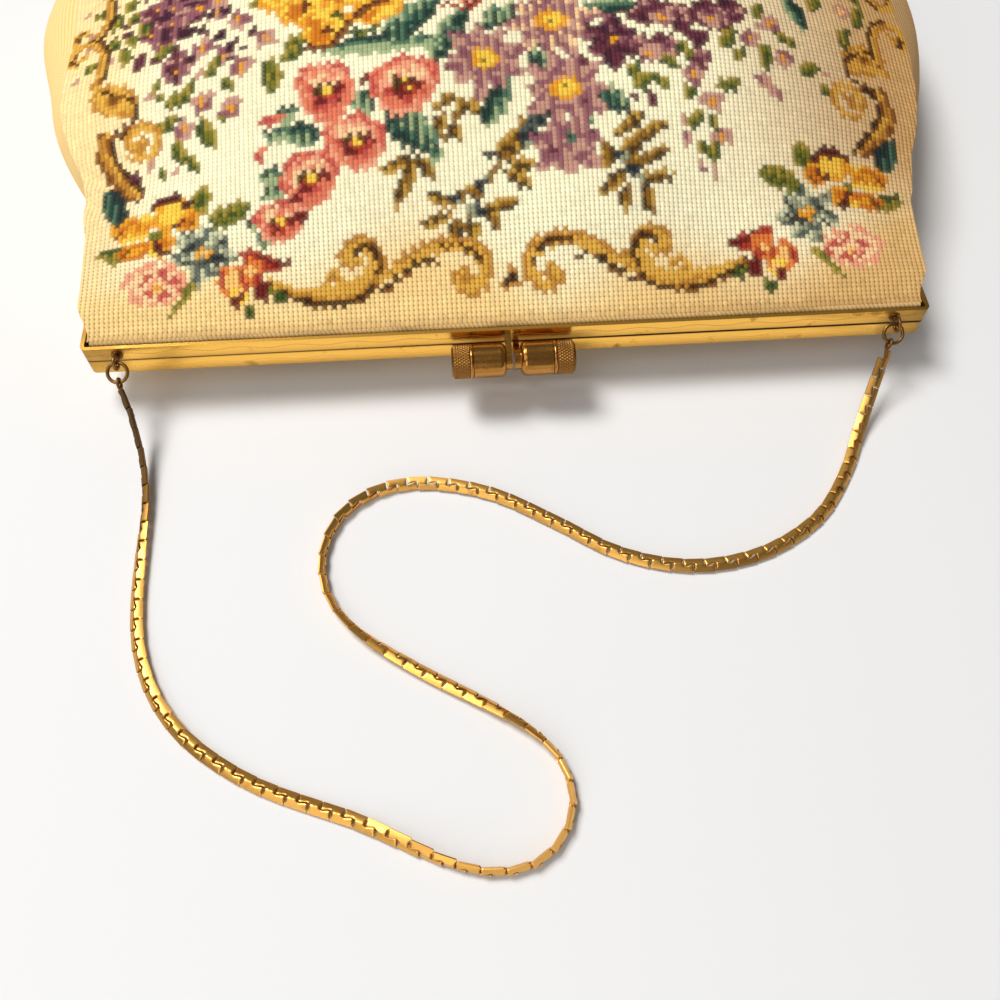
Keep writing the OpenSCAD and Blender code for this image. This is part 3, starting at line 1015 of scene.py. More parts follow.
@dataclass
class Needlework:
    """Painter of stitches: x runs across the canvas from its middle, s along it from the frame."""

    x: np.ndarray
    s: np.ndarray
    seed: int = 7
    mirror: float = 1.0
    lift: float = 0.0
    flip: Optional[float] = None
    colour: np.ndarray = field(init=False)
    rng: np.random.Generator = field(init=False)

    def __post_init__(self) -> None:
        """Starts on a canvas of ground wool, warm at the frame and the sides, dusty and with painted shade
        on the right, and with painted brown shade along the mouth.
        """
        self.rng = np.random.default_rng(self.seed)
        self.colour = np.tile(np.array(Wool.GROUND.value), (len(self.x), 1))
        drift = 5 * np.sin(self.x * 0.11 + 0.6) + 4 * np.sin(self.x * 0.047)
        warm = 1 - ease(1, 24, self.s + drift)
        sides = ease(78, 106, np.abs(self.x) + 0.4 * drift) * 0.8
        self.tint(np.clip(warm + sides, 0, 1) * 0.9, Wool.WARM)
        # Dust and painted shade on the right, where the light falls off, also near the frame
        self.tint(ease(50, 98, self.x + 0.5 * drift) * ease(10, 50, self.s) * 0.8, Wool.DUST_AND_SHADE)
        self.tint(ease(0, 100, self.x) * warm * 0.75, Wool.DUST_AND_SHADE)
        # Painted shade: brown along the first rows at the mouth, where the cloth meets the frame
        self.tint(0.3 * (1 - ease(-0.6, 1.0, self.s)), Wool.BROWN)

    def tint(self, share: np.ndarray, wool: Wool) -> None:
        """Mixes a wool into the stitches by their share."""
        self.colour = mix(self.colour, np.array(wool.value)[None, :], share[:, None])

    def near(self, x0: float, s0: float, reach: float) -> tuple[np.ndarray, np.ndarray, np.ndarray]:
        """Finds the stitches round a point of the drawing.

        Args:
            x0: The point's place across the drawing.
            s0: The point's place along the drawing.
            reach: How far from it they may be.

        Returns:
            The stitches and their places from the point, across and along.
        """
        s = self.s if self.flip is None else self.flip - self.s
        a, b = self.mirror * self.x - x0, s - s0 - self.lift
        where = np.flatnonzero((np.abs(a) < reach) & (np.abs(b) < reach))
        return where, a[where], b[where]

    def sew(self, where: np.ndarray, level: np.ndarray, tones: Tones, stray: float = 0.1) -> None:
        """Works stitches in tones by their level.

        Args:
            where: The stitches.
            level: Their level from 0, the first tone, to 1, the last one.
            tones: The wools.
            stray: How far a stitch's level strays.
        """
        stray_level = level + self.rng.normal(0, stray, len(where))
        pick = np.clip((stray_level * len(tones)).astype(int), 0, len(tones) - 1)
        self.colour[where] = np.array([tone.value for tone in tones])[pick]

    def oval(self, place: Place, tones: Tones) -> None:
        """Works an oval in tones from its middle out.

        Args:
            place: Its middle, its half sizes and, if it is turned, its angle in degrees.
            tones: Its wools.
        """
        x0, s0, half_a, half_b = place[:4]
        turn = math.radians(place[4]) if len(place) > 4 else 0.0
        where, a, b = self.near(x0, s0, max(half_a, half_b) + 1)
        u = (a * math.cos(turn) + b * math.sin(turn)) / half_a
        v = (b * math.cos(turn) - a * math.sin(turn)) / half_b
        out = np.hypot(u, v)
        inside = out < 1
        self.sew(where[inside], out[inside], tones)

    def dabs(self, wool: Wool, base: Point2, *places: Place) -> None:
        """Works ovals of one wool, at places from a base point."""
        for place in places:
            self.oval((base[0] + place[0], base[1] + place[1], *place[2:]), (wool,))

    def petal(self, base: Point2, step: Point2, wide: float, tones: Tones, full: float = 0.65) -> None:
        """Works a petal, from the first tone at its base to the last one at its tip and along its rim.

        Args:
            base: Its base.
            step: Way from its base to its tip.
            wide: Its width.
            tones: Its wools.
            full: Below 1 the petal is fullest near its tip.
        """
        size = math.hypot(*step)
        where, a, b = self.near(*base, size + wide)
        t = (a * step[0] + b * step[1]) / size**2
        off = np.abs(a * step[1] - b * step[0]) / size
        half = wide / 2 * np.sin(np.pi * np.clip(t, 0, 1) ** (1 / full)) ** 0.6 + 0.3
        inside = (t > 0) & (t < 1) & (off < half)
        level = np.maximum(t, np.where(t > 0.45, off / half, 0) ** 2)
        self.sew(where[inside], level[inside], tones)

    def leaf(self, base: Point2, tip: Point2, wide: float, tones: Tones) -> None:
        """Works a pointed leaf, light on one side and dark on the other.

        Args:
            base: Its base.
            tip: Its tip.
            wide: Its width.
            tones: Its wools from light to dark.
        """
        step = (tip[0] - base[0], tip[1] - base[1])
        size = math.hypot(*step)
        where, a, b = self.near(*base, size + wide)
        t = (a * step[0] + b * step[1]) / size**2
        off = (a * step[1] - b * step[0]) / size
        half = wide / 2 * np.clip(1 - (2 * t - 1) ** 2, 0, 1) ** 0.8 + 0.35
        inside = (t > -0.02) & (t < 1.02) & (np.abs(off) < half)
        streak = 0.26 * np.sin(a * 2.8)
        level = 0.5 + 0.5 * off / half + streak
        self.sew(where[inside], level[inside], tones)

    def leaves(self, tones: Tones, *places: Place) -> None:
        """Works leaves of the same tones, each given by its base, its tip and its width."""
        for x0, s0, x1, s1, wide in places:
            self.leaf((x0, s0), (x1, s1), wide, tones)

    def daisy(
        self, middle: Point2, radius: float, petals: int, tones: Tones, wide: float, turn: float = 0.0
    ) -> None:
        """Works a ring of narrow petals, each light on one side.

        Args:
            middle: Its middle.
            radius: Its radius.
            petals: Number of petals.
            tones: Their wools from light to dark.
            wide: Width of a petal.
            turn: Direction of the first petal in degrees.
        """
        for i in range(petals):
            angle = math.radians(turn + 360 * i / petals)
            reach = radius * (1 + 0.14 * math.sin(2.3 * i + turn))
            tip = (middle[0] + reach * math.cos(angle), middle[1] + reach * math.sin(angle))
            self.leaf(middle, tip, wide, tones)

    def floret(self, x0: float, s0: float, tones: Tones, size: float) -> None:
        """Works a small flower of four petals with an amber heart.

        Args:
            x0: Its place across the canvas.
            s0: Its place along the canvas.
            tones: Wools that its petals are picked from.
            size: Its radius.
        """
        turn = self.rng.uniform(0, math.pi / 2)
        reach = size * 0.62
        for k in range(4):
            way = turn + k * math.pi / 2
            wool = tones[int(self.rng.integers(len(tones)))]
            middle = (x0 + reach * math.cos(way), s0 + reach * math.sin(way))
            self.oval((*middle, size * 0.55, size * 0.5), (wool,))
        self.oval((x0, s0, 1.0, 1.0), (Wool.AMBER,))

    def stroke(self, path: Sequence[Point2], wide: Sequence[float], tones: Tones) -> None:
        """Works a curved band through points.

        Args:
            path: The points.
            wide: Its width at even steps from its start to its end.
            tones: Its wools from its left edge to its right one.
        """
        knots = np.array(path, float)
        points = smooth_line(np.vstack([2 * knots[0] - knots[1], knots, 2 * knots[-1] - knots[-2]]))
        middle = (points.min(0) + points.max(0)) / 2
        where, a, b = self.near(*middle, float(np.ptp(points, axis=0).max()) / 2 + max(wide))
        a, b = a + middle[0], b + middle[1]
        near = np.full(len(a), 1e9)
        side = np.zeros(len(a))
        at = np.zeros(len(a))
        for i in range(len(points) - 1):
            p, run = points[i], points[i + 1] - points[i]
            t = np.clip(((a - p[0]) * run[0] + (b - p[1]) * run[1]) / (run @ run), 0, 1)
            dx, dy = a - p[0] - t * run[0], b - p[1] - t * run[1]
            d = np.hypot(dx, dy)
            closer = d < near
            near[closer] = d[closer]
            side[closer] = np.sign(run[0] * dy - run[1] * dx)[closer]
            at[closer] = ((i + t) / (len(points) - 1))[closer]
        half = np.interp(at, np.linspace(0, 1, len(wide)), np.array(wide)) / 2
        level = 0.5 - 0.5 * side * near / np.maximum(half, 0.3)
        inside = near < half
        self.sew(where[inside], level[inside], tones)


@dataclass
class FloralDesign(Needlework):
    """Floral pattern of a panel: scroll border, corner posies and, on the front, a full middle."""

    turn_line: float = 177.0
    middle_too: bool = True
    # Painted shade towards the right, where the light falls off: shares taken off red, green and blue
    right_shade: Colour = (0.13, 0.19, 0.23)
    uneven: float = 0.05

    def scrolls(self) -> None:
        """Border scrolls on one side of the middle."""
        self.stroke(
            [
                (-56, 11), (-50, 8.2), (-43, 7), (-36.5, 7.6), (-32.3, 10.4), (-31, 14.5), (-32.8, 18.2),
                (-36.2, 18.6), (-38.2, 15.8), (-36, 14.2)
            ],
            (1.6, 4.4, 4.6, 4.2, 3.6), SCROLL[::-1]
        )
        self.stroke([(-43, 9.5), (-41, 12.2), (-39.2, 10.2)], (1.6, 2.4, 1.4), (Wool.GOLD, Wool.TAN))
        self.stroke(
            [(-57, 10.6), (-52, 7.2), (-46.5, 4.9), (-40, 4.5), (-35.5, 5.3), (-32, 7.4)], (1.4, 1.7, 1.3),
            EDGE
        )
        self.stroke(
            [(-31.6, 8.2), (-30.4, 11), (-30.3, 15), (-31.8, 17.6), (-34.4, 18), (-36, 16)],
            (1.4, 1.9, 1.4), EDGE
        )
        self.stroke(
            [
                (-30, 10), (-25, 13.2), (-20, 16), (-13.5, 17.6), (-7.5, 15.8), (-5, 11.5), (-6.6, 7.4),
                (-10, 6.6), (-12.2, 9), (-10.4, 11)
            ],
            (2.4, 4.0, 4.2, 3.4, 2.6), SCROLL
        )
        self.stroke(
            [(-29.8, 7), (-26, 9.6), (-22, 12.6), (-18.5, 13.4), (-15.6, 12.8)], (1.2, 1.8, 1.1), EDGE
        )
        self.stroke([(-15.5, 17), (-11.5, 17), (-8, 15.4), (-6, 12.8)], (1.0, 1.7, 1.0), EDGE)
        self.dabs(Wool.TAN, (-9.8, 9), (0, 0, 1.8, 1.2, 40))

    def side_scrolls(self) -> None:
        """Scrolls along one side seam."""
        gold = (Wool.GOLD, Wool.GOLD, Wool.TAN)
        self.oval((-94.5, 66, 7.2, 4.6, -28), (Wool.TAN, Wool.GOLD, Wool.GOLD, Wool.GOLD, Wool.TAN))
        self.oval((-95, 66.2, 2.2, 1.5, -28), (Wool.BROWN, Wool.TAN))
        self.stroke(
            [(-98, 69.4), (-92, 67), (-88.4, 62.6), (-90.6, 58.6), (-95, 57.4)], (0.9, 1.5, 1.5), EDGE
        )
        self.stroke(
            [(-97.5, 57), (-98.4, 51), (-95.6, 45), (-90, 38.5)], (3.4, 4.0, 3.0),
            (Wool.GOLD, Wool.TAN, Wool.BROWN)
        )
        self.stroke([(-92, 57), (-96, 55.4), (-95.4, 50), (-92, 44), (-88, 39)], (1.2, 1.6, 1.8), EDGE)
        self.stroke(
            [(-91.5, 49.5), (-86, 48.6), (-83.4, 53), (-86, 57), (-90.4, 56), (-91, 52.4), (-88, 51.4)],
            (1.6, 2.6, 2.0), gold
        )
        self.oval((-87.8, 53, 1.7, 1.6), (Wool.GOLD, Wool.TAN))
        spiral = [
            (-100, 106), (-98.8, 98), (-101, 91), (-105.6, 88.4), (-109, 91), (-108, 95.4), (-105, 93.4)
        ]
        self.stroke(spiral, (2.6, 3.6, 3.2, 2.4), gold)
        self.stroke([(-98.6, 105), (-97.6, 97.4), (-100, 90.6), (-104, 87.4)], (1.2, 1.5, 1.2), EDGE)
        self.stroke([(-106.6, 95.6), (-108.8, 93.6), (-107.4, 91)], (0.9, 1.3, 0.9), EDGE)

    def pansy(self, at: Point2) -> None:
        """Orange and yellow pansy with maroon streaks.

        Args:
            at: Middle of the flower.
        """
        for place, tones in (
            ((-4.5, 2, 5.5, 3.2), (Wool.AMBER, Wool.ORANGE, Wool.AMBER)),
            ((-3, -4.5, 4.4, 2.6), (Wool.AMBER, Wool.ORANGE)),
            ((3.5, -4, 3.2, 3.4), (Wool.ORANGE, Wool.AMBER)),
            ((9.5, 1.5, 3.5, 3.2), (Wool.ORANGE, Wool.ORANGE, Wool.AMBER)),
            ((5.5, 4, 4.8, 4.4), (Wool.YELLOW, Wool.YELLOW, Wool.AMBER)),
        ):
            self.oval((at[0] + place[0], at[1] + place[1], *place[2:]), tones)
        self.dabs(Wool.YELLOW, at, (-3.5, -0.6, 3.6, 1.2), (-0.5, 4.6, 2.0, 1.0), (0.6, -6, 1.4, 0.9))
        self.dabs(
            Wool.MAROON, at, (5.5, 8, 3.2, 1.7), (9.6, 5.6, 1.5, 1.4), (1.5, 7, 1.2, 0.9),
            (2.5, -4.5, 1.1, 2.7, 20), (7.8, 0.8, 2.4, 0.8, 35), (4.2, -6.4, 1.3, 0.8)
        )
        self.dabs(Wool.BROWN, at, (-7.2, 1.0, 1.2, 0.7), (11, 0, 1.0, 0.8), (-5.5, -5, 1.2, 0.7))
        self.dabs(Wool.MOSS, at, (2, -1, 1.4, 1.2))

    def ice_flower(self, at: Point2) -> None:
        """Grey-blue flower with navy between its petals.

        Args:
            at: Middle of the flower.
        """
        for dx, ds in ((0.5, 7.2), (-6, 5.4), (-7.6, -1.5), (-1.5, -8.5), (4.5, -6.5), (8.6, -2), (6, 4.6)):
            self.leaf(at, (at[0] + dx, at[1] + ds), 4.4, LEAF_ICE)
        self.dabs(
            Wool.NAVY, at, (-3.2, 1.6, 2.0, 0.8, 20), (2.8, -2, 2.0, 1.2), (5, -1.2, 1.3, 0.8),
            (-4, -2.2, 1.1, 0.8), (5, 2.4, 1.3, 0.7)
        )
        self.oval((at[0] + 0.4, at[1], 2.3, 1.5), (Wool.PEACH, Wool.AMBER))

    def pink_flower(self, at: Point2) -> None:
        """Pale pink flower with rose spots.

        Args:
            at: Middle of the flower.
        """
        for step in ((7.6, 1.5), (4.4, 5.4), (-2.5, 6.4), (-8, 3), (-6.5, -2.8), (-1, -5.4), (5, -4)):
            self.petal(at, step, 5.6, ROSE)
        self.dabs(
            Wool.ROSE, at, (-2.5, 2, 1.8, 0.8, 30), (-1.5, -1.8, 1.5, 0.8), (1.8, -2.6, 1.7, 0.8, 20),
            (4.6, 1.2, 1.7, 0.9), (6, -1, 1.2, 0.9), (1.2, 3.8, 1.4, 0.7, -30), (2.6, 1.6, 0.9, 0.7)
        )
        self.oval((at[0] + 0.5, at[1] - 0.3, 1.5, 1.2), (Wool.AMBER, Wool.PEACH))

    def tulip(self, at: Point2) -> None:
        """Peach tulip with red petals and sepals.

        Args:
            at: Middle of the flower.
        """
        self.dabs(Wool.RED, at, (2.5, 4.6, 4.8, 2.4, -12), (-0.4, 7.2, 2.4, 1.1))
        self.dabs(Wool.DARK_RED, at, (6, 4.4, 3.0, 1.0, -5), (2, 6.2, 1.8, 0.7))
        for place, tones in (
            ((-4.8, 0.6, 3.5, 4.3, 20), (Wool.PEACH, Wool.PEACH, Wool.FLAME)),
            ((-3, -2.4, 2.2, 2.6), (Wool.PEACH, Wool.YELLOW)),
            ((-0.5, 2.6, 3.0, 4.0, -20), (Wool.PEACH, Wool.FLAME, Wool.FLAME)),
        ):
            self.oval((at[0] + place[0], at[1] + place[1], *place[2:]), tones)
        self.dabs(Wool.RED, at, (1.4, -0.2, 1.4, 3.0, 15), (-7.4, 0.6, 0.8, 2.2), (-2.4, 1, 0.6, 2.6, 20))
        self.dabs(
            Wool.DARK_RED, at, (2, -2.8, 1.9, 2.6, 20), (-4, -4.6, 1.2, 2.0, -25), (3.4, -0.8, 1.3, 1.0)
        )
        self.dabs(Wool.GREEN, at, (-1, -7.4, 1.5, 1.7), (6, -3.8, 2.5, 1.5, -25))
        self.dabs(Wool.MOSS, at, (5, -2.6, 1.2, 0.7), (-0.4, -6.4, 0.8, 0.8))

    def posy(self, pansy: Point2, ice: Point2, pink: Point2, tulip: Point2) -> None:
        """Corner posy of four flowers with its leaves.

        Args:
            pansy: Middle of the pansy.
            ice: Middle of the blue flower.
            pink: Middle of the pink flower.
            tulip: Middle of the tulip.
        """
        x0, s0 = pansy
        self.leaf((x0 - 6.5, s0 + 3), (x0 - 12.5, s0 + 15.5), 5.6, (Wool.TEAL, Wool.DARK_TEAL, Wool.NAVY))
        self.leaf((x0 - 3, s0 - 6), (x0 - 12.5, s0 - 3.4), 4.4, LEAF_OLIVE)
        self.oval((x0 + 13, s0 + 6, 2.6, 4.0, -12), (Wool.GREEN, Wool.MOSS, Wool.OLIVE))
        self.leaf(
            (ice[0] + 1, ice[1] + 7), (ice[0] + 11.5, ice[1] + 11), 5.0,
            (Wool.OLIVE, Wool.MOSS, Wool.GREEN, Wool.MOSS)
        )
        self.stroke(
            [(pink[0] + 9, pink[1] - 0.5), (pink[0] + 6.5, pink[1] - 4), (pink[0] + 3.5, pink[1] - 8)],
            (2.4, 2.0, 1.0), (Wool.OLIVE, Wool.MOSS)
        )
        self.pansy(pansy)
        self.pink_flower(pink)
        self.ice_flower(ice)
        self.tulip(tulip)

    def border(self) -> None:
        """Scrolls and posies of all four corners."""
        left = ((-85, 27), (-71.5, 19.5), (-83, 12), (-60, 11))
        right = ((-86.5, 32.5), (-74, 23.5), (-84, 14), (-61.5, 11.5))
        for flip in (None, self.turn_line):
            self.flip = flip
            for mirror, lift, places in ((1.0, 0.0, left), (-1.0, 3.5, right)):
                self.mirror = mirror
                self.scrolls()
                self.lift = lift
                self.side_scrolls()
                self.lift = 0.0
                self.posy(*places)
            self.mirror = 1.0
            self.dabs(Wool.DARK_BROWN, (0.6, 8.6), (0, 0, 1.7, 1.3))
            self.dabs(Wool.TAN, (0.6, 6.8), (0, 0, 2.4, 0.9), (0.4, 4.2, 0.8, 0.8))
        self.flip = None

    def left_sprays(self) -> None:
        """Lilac spray on the left."""
        dark: Tones = (Wool.VIOLET, Wool.PLUM, Wool.VIOLET)
        pale = LEAF_ASTER
        for place in (
            (-86, 92, 5, 3.5), (-80.5, 87, 5.5, 4.5), (-82, 80, 3.5, 3.5), (-78, 72, 4.5, 4),
            (-75, 90, 4, 3)
        ):
            self.oval(place, (Wool.VIOLET, Wool.PLUM, Wool.LILAC, Wool.VIOLET))
        for x0, s0, tones in (
            (-80.8, 86, dark), (-73.2, 89.4, dark), (-78.4, 70, dark), (-71.6, 75.6, pale),
            (-62.6, 81.4, pale), (-55.4, 74, pale), (-61.4, 67.4, pale), (-64.4, 56.6, pale),
            (-71.6, 59.6, pale), (-76.4, 53.4, pale), (-85.6, 92.6, dark), (-68, 91, pale), (-66, 72, pale)
        ):
            self.floret(x0, s0, tones, 2.9)
        self.dabs(
            Wool.DEEP_PLUM, (0, 0), (-83, 89.4, 2.6, 1.6), (-77, 81.6, 2.6, 2.2), (-73, 81.4, 1.8, 1.2),
            (-70, 85.6, 2.0, 1.1), (-65.8, 85.8, 1.6, 1.4), (-67.4, 78.4, 2.0, 1.6),
            (-63.8, 74.4, 1.0, 2.4, -35), (-61.4, 72.8, 1.6, 0.7), (-59, 77.2, 1.5, 1.2),
            (-74.6, 73.4, 1.4, 1.4), (-82.6, 83.4, 1.4, 2.2), (-78.6, 67.6, 1.0, 1.4),
            (-75.6, 91.4, 2.0, 0.9), (-80.4, 70.6, 1.0, 0.8), (-64.6, 69.6, 0.8, 0.8), (-86.8, 88, 1.0, 1.4)
        )
        self.dabs(
            Wool.PLUM, (0, 0), (-88.6, 76, 1.6, 3.2, -8), (-79, 76, 1.4, 1.6), (-90.4, 42.4, 1.8, 2.8, -20),
            (-88.4, 38.4, 1.2, 1.8), (-84, 75, 1.6, 1.4), (-71.4, 80, 1.2, 1.0), (-93.6, 87, 1.6, 1.0)
        )
        self.dabs(
            Wool.LILAC, (0, 0), (-85.6, 65, 1.6, 1.2), (-86, 45.6, 1.4, 2.0), (-79, 42.4, 0.9, 1.6),
            (-97.4, 78, 1.6, 1.2), (-103.6, 86, 1.6, 1.0), (-84, 50, 1.2, 1.2), (-72.4, 68, 1.4, 1.2),
            (-106, 75, 1.2, 0.9), (-69, 61.6, 1.2, 1.0)
        )
        self.leaves(
            LEAF_OLIVE, (-99, 80, -95.4, 86, 2.6), (-92, 76, -94, 82, 3.4),
            (-104, 76.6, -99.4, 79.6, 2.8), (-87, 84, -90, 89, 2.6), (-98, 90, -95, 95, 3.0),
            (-93, 90, -90.6, 95, 3.0), (-84.6, 76, -79.6, 78.6, 3.2), (-70.2, 66, -67, 72, 2.8),
            (-84, 66, -83, 69, 2.2), (-83.4, 62.6, -81.6, 65.6, 2.4), (-81, 61.4, -74, 63.6, 4.2),
            (-74.8, 64, -74, 67, 1.8), (-83.4, 55.6, -77.6, 57.4, 3.2), (-72, 55.6, -69, 46.6, 4.0),
            (-66, 65, -63.6, 61.6, 2.6), (-79.6, 51, -76.6, 44, 2.8), (-76, 46, -72.6, 41.4, 2.2),
            (-83, 44, -81.6, 40.8, 2.2), (-58.6, 83.6, -57, 88, 2.8), (-66.8, 53, -66, 55, 1.6)
        )

    def right_sprays(self) -> None:
        """Plum and lilac sprays on the right."""
        for place in (
            (38, 76, 6, 4), (46, 75, 5, 4), (55, 76, 6, 4.5), (50, 63, 3, 3), (42, 66, 4, 3.5),
            (35, 66, 4, 3), (60, 79, 4, 3)
        ):
            self.oval(place, (Wool.PLUM, Wool.VIOLET, Wool.LILAC, Wool.PLUM))
        self.dabs(
            Wool.PLUM, (0, 0), (36.6, 75, 3.4, 1.8, 30), (42, 77.6, 2.6, 1.2, 20),
            (46.4, 71.4, 3.0, 2.0, -30), (50.4, 68.6, 2.4, 2.6), (52, 78.6, 3.6, 1.8, 30),
            (59, 80.6, 3.0, 2.2), (62.4, 76.6, 1.2, 2.6, -30), (40.4, 68, 1.6, 1.4), (34.4, 63.6, 2.8, 1.4),
            (20.6, 62.4, 2.2, 1.6), (37, 51.4, 1.3, 2.0), (33, 52, 1.2, 1.2)
        )
        self.dabs(
            Wool.DEEP_PLUM, (0, 0), (45.6, 72.4, 1.8, 1.0), (50.6, 67.4, 1.4, 1.2), (51.4, 79.4, 2.0, 0.8),
            (58.6, 81, 1.8, 1.0), (37.4, 74, 1.6, 0.8), (35.4, 64.2, 1.4, 0.7)
        )
        for x0, s0 in (
            (42, 74), (54.2, 74.6), (48, 58.4), (37.6, 63.6), (52.4, 51.6), (63.8, 70), (70, 75.8),
            (71.8, 65), (53.8, 43.2)
        ):
            self.floret(x0, s0, LEAF_ASTER, 2.6)
        self.dabs(
            Wool.LILAC, (0, 0), (67, 74.4, 1.6, 1.2), (66, 58, 1.8, 2.0), (68.6, 55.4, 1.6, 1.8),
            (82, 62.6, 1.2, 1.0), (81.4, 57.4, 1.2, 1.8), (45, 41.6, 1.0, 2.4), (48.4, 35, 0.9, 1.8),
            (51.6, 33.6, 0.9, 1.8), (44.6, 47, 1.0, 1.6), (49.6, 52, 1.0, 1.2)
        )
        self.dabs(
            Wool.VIOLET, (0, 0), (64.6, 58.4, 0.9, 1.2), (69.4, 54.6, 0.8, 1.2), (44.6, 43.4, 0.7, 1.2),
            (48.6, 34.2, 0.6, 1.0)
        )
        self.leaves(
            LEAF_OLIVE, (56, 66, 60, 73, 3.2), (59, 62.6, 62, 67, 2.4), (66.6, 61, 67.6, 69, 3.2),
            (75.4, 62, 81, 64, 3.6), (70.6, 72.6, 76, 69, 2.4), (66, 76.6, 68, 82, 2.6),
            (53.6, 56, 60, 57, 3.4), (46, 51.6, 47.4, 56, 2.8), (33, 54, 38, 58, 2.8),
            (40, 62.6, 45, 60.4, 3.0), (45, 67, 48, 63, 2.6), (46, 44.6, 49.4, 49, 2.6),
            (51, 49, 53, 44, 2.2), (50, 37, 53, 41, 3.0), (48.4, 38.4, 48.6, 41.6, 1.8),
            (38.6, 58, 41, 53.6, 2.4), (31.6, 57, 34.4, 61, 2.6), (79.6, 60, 83, 56, 1.8),
            (82, 82, 85.6, 89, 3.2), (88.4, 71.6, 91.6, 79, 2.8), (94, 80, 97.6, 88, 3.0)
        )
        self.leaf((79.6, 75), (75.6, 87), 4.4, LEAF_TEAL)
        self.oval((91.6, 85, 2, 3), (Wool.PEACH, Wool.LILAC))

    def blossoms(self) -> None:
        """Coral blossoms with their buds and leaves."""
        for base, tip, wide, tones in (
            ((-49, 47), (-57, 47.6), 3.6, LEAF_MINT), ((-43, 45), (-50.6, 49), 5.6, LEAF_TEAL),
            ((-48, 53.4), (-53.6, 51.6), 4.0, LEAF_MINT), ((-52, 37), (-57.6, 37.4), 4.2, LEAF_MINT),
            ((-52, 34), (-57, 32), 3.0, LEAF_MINT), ((-58.6, 26), (-61, 24.2), 2.6, LEAF_MINT),
            ((-55.6, 23), (-58.4, 20.2), 3.4, LEAF_MINT), ((-30.6, 50), (-33.4, 56), 4.6, LEAF_MINT),
            ((-27, 51.4), (-15.4, 39.6), 8.4, LEAF_TEAL), ((-13.6, 41), (-17, 37), 2.4, LEAF_MINT),
        ):
            self.leaf(base, tip, wide, tones)
        self.dabs(Wool.ROSE, (0, 0), (-57.4, 42.6, 1.3, 2.0), (-55.4, 51.4, 2.4, 1.2))
        self.dabs(Wool.CORAL, (0, 0), (-52.6, 52, 1.4, 1.0), (-56.8, 44, 0.9, 0.9))
        flowers = (
            ((-53, 26), 6.0, 18), ((-45.5, 36), 7.6, 40), ((-34.5, 44), 7.6, 5), ((-41, 57.5), 8.0, 60),
            ((-22, 57), 8.4, 25)
        )
        for at, radius, turn in flowers:
            ways = [math.radians(turn + 72 * i) for i in range(5)]
            for angle in sorted(ways, key=math.sin, reverse=True):
                reach = radius * (1 + 0.12 * math.sin(3 * angle))
                tones = CORAL_DEEP if math.sin(angle) < -0.15 else CORAL
                self.petal(at, (reach * math.cos(angle), reach * math.sin(angle)), 0.98 * radius, tones)
            self.dabs(Wool.DARK_RED, at, (3.0, 0.2, 1.7, 1.2), (-1.4, -2.6, 1.5, 1.1))
            self.dabs(Wool.BARK, at, (-1.9, 0.3, 1.0, 1.6), (1.0, 0.9, 0.7, 0.7))
            self.dabs(Wool.YELLOW, at, (0.1, 0.2, 0.9, 1.2), (0.9, -0.9, 0.9, 0.7))
        self.dabs(
            Wool.DARK_RED, (0, 0), (-31.5, 59, 1.4, 1.4), (-49.4, 30.6, 1.6, 1.1), (-47.6, 26.6, 1.3, 1.8)
        )

    def asters(self) -> None:
        """Violet asters of the middle with their leaves."""
        for base, tip, wide, tones in (
            ((2.6, 57.6), (-3.4, 45.4), 5.4, LEAF_TEAL), ((8, 66.4), (12.6, 60), 3.6, LEAF_TEAL),
            ((23.6, 55.4), (31.4, 48.4), 5.8, LEAF_TEAL),
            ((5, 43), (12.4, 49.6), 3.8, (Wool.SLATE, Wool.NAVY)), ((16.4, 46), (16.8, 39), 3.8, LEAF_TEAL),
            ((21, 50), (21.6, 44.6), 2.6, LEAF_TEAL), ((22, 77), (36, 78.6), 5.0, LEAF_TEAL),
            ((-15, 62), (-6.4, 78), 5.6, LEAF_TEAL), ((-28, 68), (-13, 81), 7.4, LEAF_TEAL),
            ((-12, 68), (-44, 68.6), 4.8, LEAF_MINT), ((-2, 71), (2, 78), 4.4, LEAF_TEAL),
            ((2, 73), (5.4, 79), 3.2, LEAF_MINT), ((11, 70), (12, 66), 2.6, LEAF_OLIVE),
        ):
            self.leaf(base, tip, wide, tones)
        for at, radius, petals, tones, wide, turn in (
            ((16, 40), 9.0, 7, LEAF_ASTER, 4.4, 12), ((-2.5, 63), 10.0, 9, LEAF_ASTER, 4.0, 20),
            ((16.5, 55), 10.5, 10, LEAF_ASTER, 4.0, 0),
            ((14.5, 74), 11.0, 10, (Wool.BLUSH, Wool.LILAC, Wool.VIOLET), 4.2, 8),
            ((29, 67.5), 7.6, 6, LEAF_PLUM, 5.0, 30),
        ):
            self.daisy(at, radius, petals, tones, wide, turn)
        self.dabs(
            Wool.VIOLET, (0, 0), (-10.6, 61, 1.8, 1.2), (-8, 64.6, 1.4, 1.8), (-0.6, 58, 1.8, 1.2),
            (21, 51.4, 1.6, 1.8), (13, 59.4, 2.0, 1.0), (10, 42.4, 2.4, 1.4, 20), (21.6, 42.4, 2.4, 1.2),
            (12, 36.6, 2.0, 1.2, 40), (19, 37, 2.2, 1.2), (14.4, 44, 1.2, 1.6)
        )
        self.dabs(
            Wool.PLUM, (0, 0), (-11.6, 60.6, 0.8, 0.7), (20.6, 50.6, 0.8, 1.0), (12.4, 39, 0.9, 1.4),
            (21.4, 43.4, 1.2, 0.6), (26.6, 66, 1.6, 1.4)
        )
        for at, half_x in (((-2.5, 63), 3.6), ((16.5, 55), 4.2), ((14.5, 74), 4.2)):
            self.oval((*at, half_x, 2.9), (Wool.YELLOW, Wool.YELLOW, Wool.AMBER))
            self.dabs(Wool.MOSS, at, (-0.4, 0, 0.9, 0.6))
